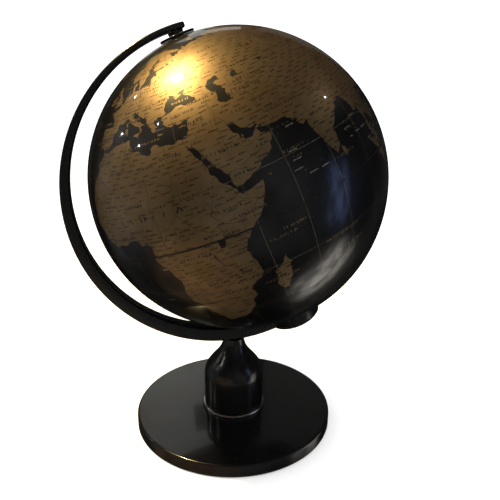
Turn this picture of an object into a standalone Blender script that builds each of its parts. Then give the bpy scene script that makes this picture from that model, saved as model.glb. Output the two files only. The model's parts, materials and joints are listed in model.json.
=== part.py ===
"""Desk terrestrial globe: a tapered meridian arm on a turned column and a weighted disc base.

Metres, +Z up. The origin is the centre of the underside of the felt pad. The arm lies in the XZ plane
and passes on the -X side of the globe, and the globe's axis leans TILT towards it.
"""

import math

import bmesh
import bpy
from mathutils import Matrix, Vector

GAP = 0.0003  # clearance between two pieces that rest on each other
MERGE = 0.00001

# The globe and its axis. Heights of the pole pieces are measured from the globe's centre along the axis.
GLOBE_RADIUS = 0.100
SHELL_WALL = 0.0016
TILT = math.radians(23.5)
CENTRE = Vector((0.00385, 0.0, 0.18137))
SHELL_SEGMENTS = 48
OUTER_STEPS = 12
INNER_STEPS = 6
RING_HALF_WIDTH = 0.004
RING_RADIUS = 0.0977
RING_WALL = 0.0015

# The pivots.
PIN_RADIUS = 0.0020
PIN_BORE = 0.0023
RUNNING_BORE = 0.0026
POLE_HOLE = 0.0050
BUSH_BARREL = 0.0047
BUSH_FLANGE = 0.0075
BUSH_TOP = 0.09995
BUSH_FLANGE_TOP = 0.0976
BUSH_BOTTOM = 0.0965
PIN_START = 0.0910
NORTH_PIN_END = 0.1062
SOUTH_PIN_END = 0.1102
WASHER_RADIUS = 0.0040

# The hour dial, a shallow dish round the north pivot.
DIAL_RADIUS = 0.0112
DIAL_HUB = 0.0050
DIAL_TOP = 0.1016
DIAL_THICKNESS = 0.0007
DIAL_DROP = 0.0009

# The arm: an inner and an outer arc whose centres are offset, so that it tapers to the north end.
ARM_WIDTH = 0.0139
ARM_OUTER_RADIUS = 0.1102
ARM_OUTER_CENTRE = Vector((-0.0067, -0.00565))
ARM_INNER_RADIUS = 0.10366
ARM_INNER_CENTRE = Vector((-0.0069, -0.00256))
ARM_PAST_NORTH = math.radians(3.3)
ARM_PAST_SOUTH = math.radians(4.0)
ARM_STEPS = 40
ARM_ROUNDING = 0.0010
COLLAR_RADIUS = 0.0049
COLLAR_SEAT = 0.1041
SOUTH_SEAT = 0.1032
BOSS_TOP = 0.1027
BOSS_RADIUS = 0.0190
BOSS_END = 0.1115
RECESS_RADIUS = 0.0090
RECESS_FLOOR = 0.1060
CAP_RADIUS = 0.0196
CAP_EDGE = 0.1124
CAP_END = 0.1146
CAP_SPIGOT = 0.0086
CAP_SPIGOT_BORE = 0.0065

# The column.
NECK_RADIUS = 0.0079
NECK_TOP = 0.0652
SHOULDER_RADIUS = 0.02235
SHOULDER_HEIGHT = 0.0360
FOOT_RADIUS = 0.0216
FOOT_STEP = 0.0123
COLUMN_BORE = 0.0033
CAVITY_RADIUS = 0.0180
CAVITY_SHOULDER = 0.0330
CAVITY_TOP = 0.0500
RING_OUTER = 0.0239

# The base.
BASE_RADIUS = 0.07375
BASE_TOP = 0.00954
BASE_EDGE = 0.0015
BASE_WALL = 0.0022
BASE_RIM = 0.0006
BASE_CEILING = 0.0070
FELT_RADIUS = 0.0710
FELT_TOP = 0.0012
PLATE_BOTTOM = 0.0022
PLATE_TOP = 0.0034
PLATE_HOLE = 0.0080
WEIGHT_RADIUS = 0.0540
WEIGHT_BORE = 0.0140
WEIGHT_TOP = 0.0066
SCREW_COUNT = 4
SCREW_CIRCLE = 0.0600
SCREW_RADIUS = 0.0014
SCREW_HEAD = 0.0028
SCREW_BOSS = 0.0040
BOLT_RADIUS = 0.0030
BOLT_HEAD = 0.0052
BOLT_HEAD_TOP = 0.0057
BOLT_HEAD_BOTTOM = 0.0020
BOLT_END = 0.0718
SOCKET_RADIUS = 0.0028
INSERT_RADIUS = 0.0046
INSERT_BOTTOM = 0.0664
INSERT_TOP = 0.0724

BIG = 60
MEDIUM = 36
SMALL = 16


def clear_scene():
    for obj in list(bpy.data.objects):
        bpy.data.objects.remove(obj, do_unlink=True)


def collection(name):
    made = bpy.data.collections.new(name)
    bpy.context.scene.collection.children.link(made)
    return made


def material(name, colour, roughness, metallic):
    made = bpy.data.materials.new(name)
    made.use_nodes = True
    shader = made.node_tree.nodes["Principled BSDF"]
    shader.inputs["Base Color"].default_value = (*colour, 1.0)
    shader.inputs["Roughness"].default_value = roughness
    shader.inputs["Metallic"].default_value = metallic
    return made


def on_axis():
    """Placement of the pieces turned about the globe's axis: local +Z points to the north pole."""
    return Matrix.Translation(CENTRE) @ Matrix.Rotation(-TILT, 4, "Y")


def add(name, mesh, look, place):
    obj = bpy.data.objects.new(name, mesh)
    if look is None:
        CUTTERS.objects.link(obj)
        obj.hide_render = True
        obj.display_type = "WIRE"
    else:
        PARTS.objects.link(obj)
        obj.data.materials.append(look)
    obj.matrix_world = place
    return obj


def turned(name, outline, look, place, segments, closed=True):
    """A solid of revolution. The outline is (radius, height) points that run down its outer side."""
    mesh = bpy.data.meshes.new(name)
    points = [(radius, 0.0, height) for radius, height in outline]
    edges = [(i, i + 1) for i in range(len(points) - 1)]
    if closed:
        edges.append((len(points) - 1, 0))
    mesh.from_pydata(points, edges, [])
    obj = add(name, mesh, look, place)
    screw = obj.modifiers.new("Turn", "SCREW")
    screw.axis = "Z"
    screw.steps = segments
    screw.render_steps = segments
    screw.use_merge_vertices = True
    screw.merge_threshold = MERGE
    screw.use_smooth_shade = look is not None
    return obj


def ring(name, bore, radius, bottom, top, look, place, segments=SMALL):
    outline = [(bore, top), (radius, top), (radius, bottom), (bore, bottom)]
    return turned(name, outline, look, place, segments)


def rod(name, radius, bottom, top, look, place, segments=SMALL):
    outline = [(0.0, top), (radius, top), (radius, bottom), (0.0, bottom)]
    return turned(name, outline, look, place, segments, closed=False)


def studs(name, centres, radius, bottom, top, segments):
    """A cutter or a guide made of upright cylinders."""
    shape = bmesh.new()
    for x, y in centres:
        bmesh.ops.create_cone(
            shape,
            cap_ends=True,
            segments=segments,
            radius1=radius,
            radius2=radius,
            depth=top - bottom,
            matrix=Matrix.Translation((x, y, (top + bottom) / 2)),
        )
    mesh = bpy.data.meshes.new(name)
    shape.to_mesh(mesh)
    shape.free()
    return add(name, mesh, None, Matrix())


def boolean(obj, tool, operation="DIFFERENCE", solver="EXACT"):
    step = obj.modifiers.new(tool.name, "BOOLEAN")
    step.operation = operation
    step.solver = solver
    step.object = tool


def on_circle(count, radius, start):
    for i in range(count):
        angle = start + 2 * math.pi * i / count
        yield radius * math.cos(angle), radius * math.sin(angle)


def corner(centre, radius, start, end, steps):
    """Points of a rounded corner of an outline, between two angles in degrees."""
    for i in range(steps + 1):
        angle = math.radians(start + (end - start) * i / steps)
        yield centre[0] + radius * math.cos(angle), centre[1] + radius * math.sin(angle)


def meridian(radius, start, end, steps):
    """Points on a meridian of a sphere, between two angles from its north pole."""
    for i in range(steps + 1):
        angle = start + (end - start) * i / steps
        yield radius * math.sin(angle), radius * math.cos(angle)


def bezier(points, steps):
    a, b, c, d = (Vector(p) for p in points)
    for i in range(steps + 1):
        t = i / steps
        s = 1 - t
        point = s**3 * a + 3 * s * s * t * b + 3 * s * t * t * c + t**3 * d
        yield point.x, point.y


def make_base(plastic, steel, card, felt):
    screws = list(on_circle(SCREW_COUNT, SCREW_CIRCLE, math.pi / SCREW_COUNT))
    edge = (BASE_RADIUS - BASE_EDGE, BASE_TOP - BASE_EDGE)
    outline = [(COLUMN_BORE, BASE_TOP)]
    outline += corner(edge, BASE_EDGE, 90, 0, 4)
    outline += [(BASE_RADIUS, BASE_RIM), (BASE_RADIUS - BASE_WALL, BASE_RIM)]
    outline += [(BASE_RADIUS - BASE_WALL, BASE_CEILING), (COLUMN_BORE, BASE_CEILING)]
    shell = turned("base_shell", outline, plastic, Matrix(), BIG)
    bosses = studs("base_screw_bosses", screws, SCREW_BOSS, PLATE_TOP + GAP, BASE_CEILING + GAP, SMALL)
    holes = studs("base_screw_holes", screws, SCREW_RADIUS + GAP, 0.0, BASE_CEILING + 3 * GAP, SMALL)
    boolean(shell, bosses, "UNION")
    boolean(shell, holes)
    ring("base_weight", WEIGHT_BORE, WEIGHT_RADIUS, PLATE_TOP + GAP, WEIGHT_TOP, steel, Matrix(), BIG)
    plate_radius = BASE_RADIUS - BASE_WALL - 2 * GAP
    plate = ring("bottom_plate", PLATE_HOLE, plate_radius, PLATE_BOTTOM, PLATE_TOP, card, Matrix(), BIG)
    boolean(plate, holes)
    rod("felt_pad", FELT_RADIUS, 0.0, FELT_TOP, felt, Matrix(), BIG)
    head_top = PLATE_BOTTOM - GAP / 3
    head_bottom = FELT_TOP + GAP / 2
    outline = [(0.0, BASE_CEILING), (SCREW_RADIUS, BASE_CEILING), (SCREW_RADIUS, head_top)]
    outline += [(SCREW_HEAD, head_top), (SCREW_HEAD, head_bottom), (0.0, head_bottom)]
    for i, (x, y) in enumerate(screws):
        place = Matrix.Translation((x, y, 0.0))
        turned(f"plate_screw_{i + 1}", outline, steel, place, SMALL, closed=False)


def make_column(plastic, trim, steel, brass):
    flare = [(NECK_RADIUS, NECK_TOP), (0.0083, 0.0520), (0.0220, 0.0495), (SHOULDER_RADIUS, SHOULDER_HEIGHT)]
    outline = [(COLUMN_BORE, NECK_TOP)]
    outline += bezier(flare, 11)
    outline += [(SHOULDER_RADIUS, FOOT_STEP), (FOOT_RADIUS, FOOT_STEP), (FOOT_RADIUS, BASE_TOP + GAP)]
    outline += [(CAVITY_RADIUS, BASE_TOP + GAP), (CAVITY_RADIUS, CAVITY_SHOULDER)]
    outline += [(COLUMN_BORE, CAVITY_TOP)]
    turned("column", outline, plastic, Matrix(), MEDIUM)
    top = FOOT_STEP - GAP
    edge = (RING_OUTER - 0.0010, top - 0.0010)
    outline = [(FOOT_RADIUS + GAP, top)]
    outline += corner(edge, 0.0010, 90, 0, 3)
    outline += [(RING_OUTER, BASE_TOP + GAP), (FOOT_RADIUS + GAP, BASE_TOP + GAP)]
    turned("foot_ring", outline, trim, Matrix(), MEDIUM)
    outline = [(0.0, BOLT_END), (BOLT_RADIUS, BOLT_END), (BOLT_RADIUS, BOLT_HEAD_TOP)]
    outline += [(BOLT_HEAD, BOLT_HEAD_TOP), (BOLT_HEAD, BOLT_HEAD_BOTTOM), (0.0, BOLT_HEAD_BOTTOM)]
    bolt = turned("clamp_bolt", outline, steel, Matrix(), SMALL, closed=False)
    socket_top = BOLT_HEAD_BOTTOM + 0.0022
    boolean(bolt, studs("bolt_socket", [(0.0, 0.0)], SOCKET_RADIUS, 0.0, socket_top, 6))
    washer_top = BASE_CEILING - GAP
    ring("clamp_washer", COLUMN_BORE, 0.0070, BOLT_HEAD_TOP + GAP, washer_top, steel, Matrix())
    ring("arm_insert", COLUMN_BORE, INSERT_RADIUS, INSERT_BOTTOM, INSERT_TOP, brass, Matrix())


def on_arc(centre, radius, angle):
    """The point of an arm arc that lies at this angle, seen from the globe's centre."""
    ray = Vector((math.cos(angle), math.sin(angle)))
    along = ray.dot(centre)
    return ray * (along + math.sqrt(along**2 - centre.length_squared + radius**2))


def arm_outline():
    start = math.pi / 2 + TILT - ARM_PAST_NORTH
    end = 3 * math.pi / 2 + TILT + ARM_PAST_SOUTH
    angles = [start + (end - start) * i / ARM_STEPS for i in range(ARM_STEPS + 1)]
    outer = [on_arc(ARM_OUTER_CENTRE, ARM_OUTER_RADIUS, angle) for angle in angles]
    inner = [on_arc(ARM_INNER_CENTRE, ARM_INNER_RADIUS, angle) for angle in angles]
    return outer + inner[::-1]


def arm_blank(look):
    """The arm's flat outline, extruded to its width and stood up in the XZ plane."""
    outline = arm_outline()
    curve = bpy.data.curves.new("arm_curve", "CURVE")
    curve.dimensions = "2D"
    curve.fill_mode = "BOTH"
    curve.extrude = ARM_WIDTH / 2
    line = curve.splines.new("POLY")
    line.points.add(len(outline) - 1)
    for point, place in zip(line.points, outline):
        point.co = (place.x, place.y, 0.0, 1.0)
    line.use_cyclic_u = True
    guide = bpy.data.objects.new("arm_curve", curve)
    PARTS.objects.link(guide)
    guide.matrix_world = Matrix.Translation(CENTRE) @ Matrix.Rotation(math.pi / 2, 4, "X")
    bpy.context.view_layer.update()
    solid = guide.evaluated_get(bpy.context.evaluated_depsgraph_get())
    mesh = bpy.data.meshes.new_from_object(solid)
    place = guide.matrix_world.copy()
    bpy.data.objects.remove(guide, do_unlink=True)
    shape = bmesh.new()
    shape.from_mesh(mesh)
    bmesh.ops.remove_doubles(shape, verts=shape.verts, dist=MERGE)
    bmesh.ops.recalc_face_normals(shape, faces=shape.faces)
    shape.to_mesh(mesh)
    shape.free()
    mesh.materials.clear()
    return add("arm", mesh, look, place)


def make_arm(plastic):
    arm = arm_blank(plastic)
    rounding = arm.modifiers.new("Rounding", "BEVEL")
    rounding.width = ARM_ROUNDING
    rounding.segments = 2
    rounding.limit_method = "ANGLE"
    rounding.angle_limit = math.radians(50)
    axis = on_axis()
    outline = [(0.0, -BOSS_TOP), (BOSS_RADIUS - 0.0012, -BOSS_TOP), (BOSS_RADIUS, -BOSS_TOP - 0.0012)]
    outline += [(BOSS_RADIUS, -BOSS_END - GAP), (0.0, -BOSS_END - GAP)]
    boss = turned("arm_boss", outline, None, axis, MEDIUM, closed=False)
    boolean(arm, boss, "UNION", "MANIFOLD")
    cuts = [
        rod("arm_cap_seat", CAP_RADIUS + 2 * GAP, -0.120, -BOSS_END, None, axis, MEDIUM),
        rod("arm_south_seat", 0.0070, -SOUTH_SEAT, -0.098, None, axis),
        rod("arm_south_hole", PIN_BORE, -0.110, -0.098, None, axis),
        rod("arm_recess", RECESS_RADIUS, -0.118, -RECESS_FLOOR, None, axis, MEDIUM),
        rod("arm_north_seat", COLLAR_RADIUS + GAP, 0.098, COLLAR_SEAT, None, axis),
        rod("arm_north_hole", PIN_BORE, 0.098, NORTH_PIN_END + GAP, None, axis),
        rod("arm_bolt_hole", INSERT_RADIUS + GAP, 0.060, INSERT_TOP + GAP, None, Matrix()),
    ]
    for cut in cuts:
        boolean(arm, cut, solver="MANIFOLD")


def make_pivots(plastic, steel, brass):
    axis = on_axis()
    ring("north_collar", PIN_BORE, COLLAR_RADIUS, DIAL_TOP + GAP, COLLAR_SEAT - GAP, plastic, axis, MEDIUM)
    rod("north_pin", PIN_RADIUS, PIN_START, NORTH_PIN_END, steel, axis)
    flange_top = -SOUTH_SEAT + GAP + 0.0008
    outline = [(0.0, -PIN_START), (PIN_RADIUS, -PIN_START), (PIN_RADIUS, flange_top), (0.0034, flange_top)]
    outline += [(0.0034, -SOUTH_SEAT + GAP), (PIN_RADIUS, -SOUTH_SEAT + GAP)]
    outline += [(PIN_RADIUS, -SOUTH_PIN_END), (0.0, -SOUTH_PIN_END)]
    turned("south_pin", outline, steel, axis, SMALL, closed=False)
    spring = [(RUNNING_BORE, -0.10110), (WASHER_RADIUS, -0.10135), (WASHER_RADIUS, -0.10165)]
    spring += [(RUNNING_BORE, -0.10140)]
    turned("south_spring_washer", spring, steel, axis, SMALL)
    ring("south_lock_washer", PIN_BORE, 0.0045, -0.1068, -RECESS_FLOOR - GAP, steel, axis)
    ring("south_nut", PIN_BORE, 0.0042, -0.1094, -0.1071, steel, axis, 6)
    cap_top = -BOSS_END - GAP
    outline = [(0.0, -CAP_EDGE), (CAP_SPIGOT_BORE, -CAP_EDGE), (CAP_SPIGOT_BORE, cap_top + 0.0029)]
    outline += [(CAP_SPIGOT, cap_top + 0.0029), (CAP_SPIGOT, cap_top), (CAP_RADIUS, cap_top)]
    outline += [(CAP_RADIUS, -CAP_EDGE), (0.0186, -0.1133), (0.0160, -0.1139), (0.0110, -0.1144)]
    outline += [(0.0, -CAP_END)]
    turned("south_cap", outline, plastic, axis, MEDIUM, closed=False)


def make_globe(printed, card, brass, nylon, plastic):
    axis = on_axis()
    hole = math.asin(POLE_HOLE / GLOBE_RADIUS)
    edge = math.pi / 2 - math.asin(GAP / 2 / GLOBE_RADIUS)
    inside = GLOBE_RADIUS - SHELL_WALL
    outer = list(meridian(GLOBE_RADIUS, hole, edge, OUTER_STEPS))
    inner = list(meridian(inside, edge, hole, INNER_STEPS))
    turned("north_hemisphere", outer + inner, printed, axis, SHELL_SEGMENTS)
    flipped = [(radius, -height) for radius, height in reversed(outer + inner)]
    turned("south_hemisphere", flipped, printed, axis, SHELL_SEGMENTS)
    inner_wall = RING_RADIUS - RING_WALL
    ring("joining_ring", inner_wall, RING_RADIUS, -RING_HALF_WIDTH, RING_HALF_WIDTH, card, axis, SHELL_SEGMENTS)
    bush = [(RUNNING_BORE, BUSH_TOP), (BUSH_BARREL, BUSH_TOP), (BUSH_BARREL, BUSH_FLANGE_TOP)]
    bush += [(BUSH_FLANGE, BUSH_FLANGE_TOP), (BUSH_FLANGE, BUSH_BOTTOM), (RUNNING_BORE, BUSH_BOTTOM)]
    turned("north_bush", bush, brass, axis, SMALL)
    turned("south_bush", [(r, -h) for r, h in reversed(bush)], brass, axis, SMALL)
    washer_top = DIAL_TOP - DIAL_THICKNESS - GAP
    ring("dial_washer", RUNNING_BORE, WASHER_RADIUS, BUSH_TOP + GAP, washer_top, nylon, axis)
    thrust_top = -BUSH_TOP - GAP
    ring("south_thrust_washer", RUNNING_BORE, 0.0055, thrust_top - 0.0006, thrust_top, nylon, axis)
    rim = DIAL_TOP - DIAL_DROP
    outline = [(RUNNING_BORE, DIAL_TOP), (DIAL_HUB, DIAL_TOP), (DIAL_RADIUS, rim)]
    outline += [(DIAL_RADIUS, rim - DIAL_THICKNESS), (DIAL_HUB, DIAL_TOP - DIAL_THICKNESS)]
    outline += [(RUNNING_BORE, DIAL_TOP - DIAL_THICKNESS)]
    turned("hour_dial", outline, plastic, axis, MEDIUM)


clear_scene()
PARTS = collection("desk_globe")
CUTTERS = collection("desk_globe_cutters")
CUTTERS.hide_render = True

BLACK = material("gloss_black_plastic", (0.012, 0.012, 0.013), 0.22, 0.0)
TRIM = material("bright_trim", (0.62, 0.62, 0.60), 0.20, 1.0)
STEEL = material("zinc_steel", (0.56, 0.57, 0.58), 0.32, 1.0)
BRASS = material("brass", (0.72, 0.52, 0.22), 0.28, 1.0)
MAP = material("printed_map", (0.20, 0.15, 0.06), 0.25, 0.5)
CARD = material("grey_board", (0.23, 0.22, 0.20), 0.85, 0.0)
NYLON = material("nylon", (0.80, 0.78, 0.72), 0.45, 0.0)
FELT = material("black_felt", (0.03, 0.03, 0.03), 0.95, 0.0)

make_base(BLACK, STEEL, CARD, FELT)
make_column(BLACK, TRIM, STEEL, BRASS)
make_arm(BLACK)
make_pivots(BLACK, STEEL, BRASS)
make_globe(MAP, CARD, BRASS, NYLON, BLACK)
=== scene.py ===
"""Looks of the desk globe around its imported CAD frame. Metres, +Z up."""

import json
import math
import random

import bmesh
import bpy
import numpy as np
from mathutils import Matrix, Vector
from mathutils.geometry import delaunay_2d_cdt


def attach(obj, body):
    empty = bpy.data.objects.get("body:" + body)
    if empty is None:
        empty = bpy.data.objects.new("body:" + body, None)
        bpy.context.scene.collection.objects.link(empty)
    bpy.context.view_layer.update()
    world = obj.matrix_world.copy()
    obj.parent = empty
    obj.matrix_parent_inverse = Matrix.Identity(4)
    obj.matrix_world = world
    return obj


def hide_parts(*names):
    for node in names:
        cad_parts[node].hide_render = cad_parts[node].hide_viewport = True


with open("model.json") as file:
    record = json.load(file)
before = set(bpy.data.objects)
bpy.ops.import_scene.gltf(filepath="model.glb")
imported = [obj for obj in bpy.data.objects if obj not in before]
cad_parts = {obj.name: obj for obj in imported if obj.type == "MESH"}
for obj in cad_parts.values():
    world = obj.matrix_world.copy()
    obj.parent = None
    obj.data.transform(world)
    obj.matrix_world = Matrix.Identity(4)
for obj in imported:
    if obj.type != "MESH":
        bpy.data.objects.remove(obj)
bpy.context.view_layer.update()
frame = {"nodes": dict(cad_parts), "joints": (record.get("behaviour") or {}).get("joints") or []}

NODES = frame["nodes"]
SPIN = next(j for j in frame["joints"] if j["name"] == "globe_spin")
CENTRE = Vector(SPIN["pos_m"])
AXIS = Vector(SPIN["axis"]).normalized()
TILT = math.atan2(-AXIS.x, AXIS.z)
ON_AXIS = Matrix.Translation(CENTRE) @ Matrix.Rotation(-TILT, 4, "Y")

# Sizes that the CAD source has too.
GAP = 0.0003
RADIUS = 0.100
WALL = 0.0016
POLE_HOLE = 0.005
PIN_BORE = 0.0023
RUNNING_BORE = 0.0026
DIAL_RADIUS = 0.0112
DIAL_HUB = 0.005
DIAL_TOP = 0.1016
DIAL_THICKNESS = 0.0007
DIAL_DROP = 0.0009
ARM_WIDTH = 0.0139
ARM_OUTER = (0.1102, Vector((-0.0067, -0.00565)))
ARM_INNER = (0.10366, Vector((-0.0069, -0.00256)))
ARM_PAST_NORTH = math.radians(3.3)
ARM_PAST_SOUTH = math.radians(4.0)
COLLAR_RADIUS = 0.0049
COLLAR_SEAT = 0.1041
SOUTH_SEAT = 0.1032
SOUTH_SEAT_RADIUS = 0.0070
BOSS_TOP = 0.1027
BOSS_RADIUS = 0.019
BOSS_END = 0.1115
RECESS_RADIUS = 0.009
RECESS_FLOOR = 0.106
NORTH_PIN_END = 0.1062
CAP_RADIUS = 0.0196
CAP_EDGE = 0.1124
CAP_END = 0.1146
CAP_SPIGOT = 0.0086
CAP_SPIGOT_BORE = 0.0065
INSERT_RADIUS = 0.0046
INSERT_TOP = 0.0724
COLUMN_BORE = 0.0033
COLUMN_HOLLOW = 0.018
NECK_RADIUS = 0.0079
NECK_TOP = 0.0652
SHOULDER = (0.02235, 0.036)
FOOT_RADIUS = 0.0216
FOOT_STEP = 0.0123
RING_OUTER = 0.0239
BASE_RADIUS = 0.07375
BASE_TOP = 0.00954
BASE_EDGE = 0.0015
BASE_WALL = 0.0022
BASE_RIM = 0.0006
BASE_CEILING = 0.007
SCREW_CIRCLE = 0.060
SCREW_BOSS_RADIUS = 0.004
SCREW_BOSS_BOTTOM = 0.0037
SCREW_HOLE_RADIUS = 0.0017

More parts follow.
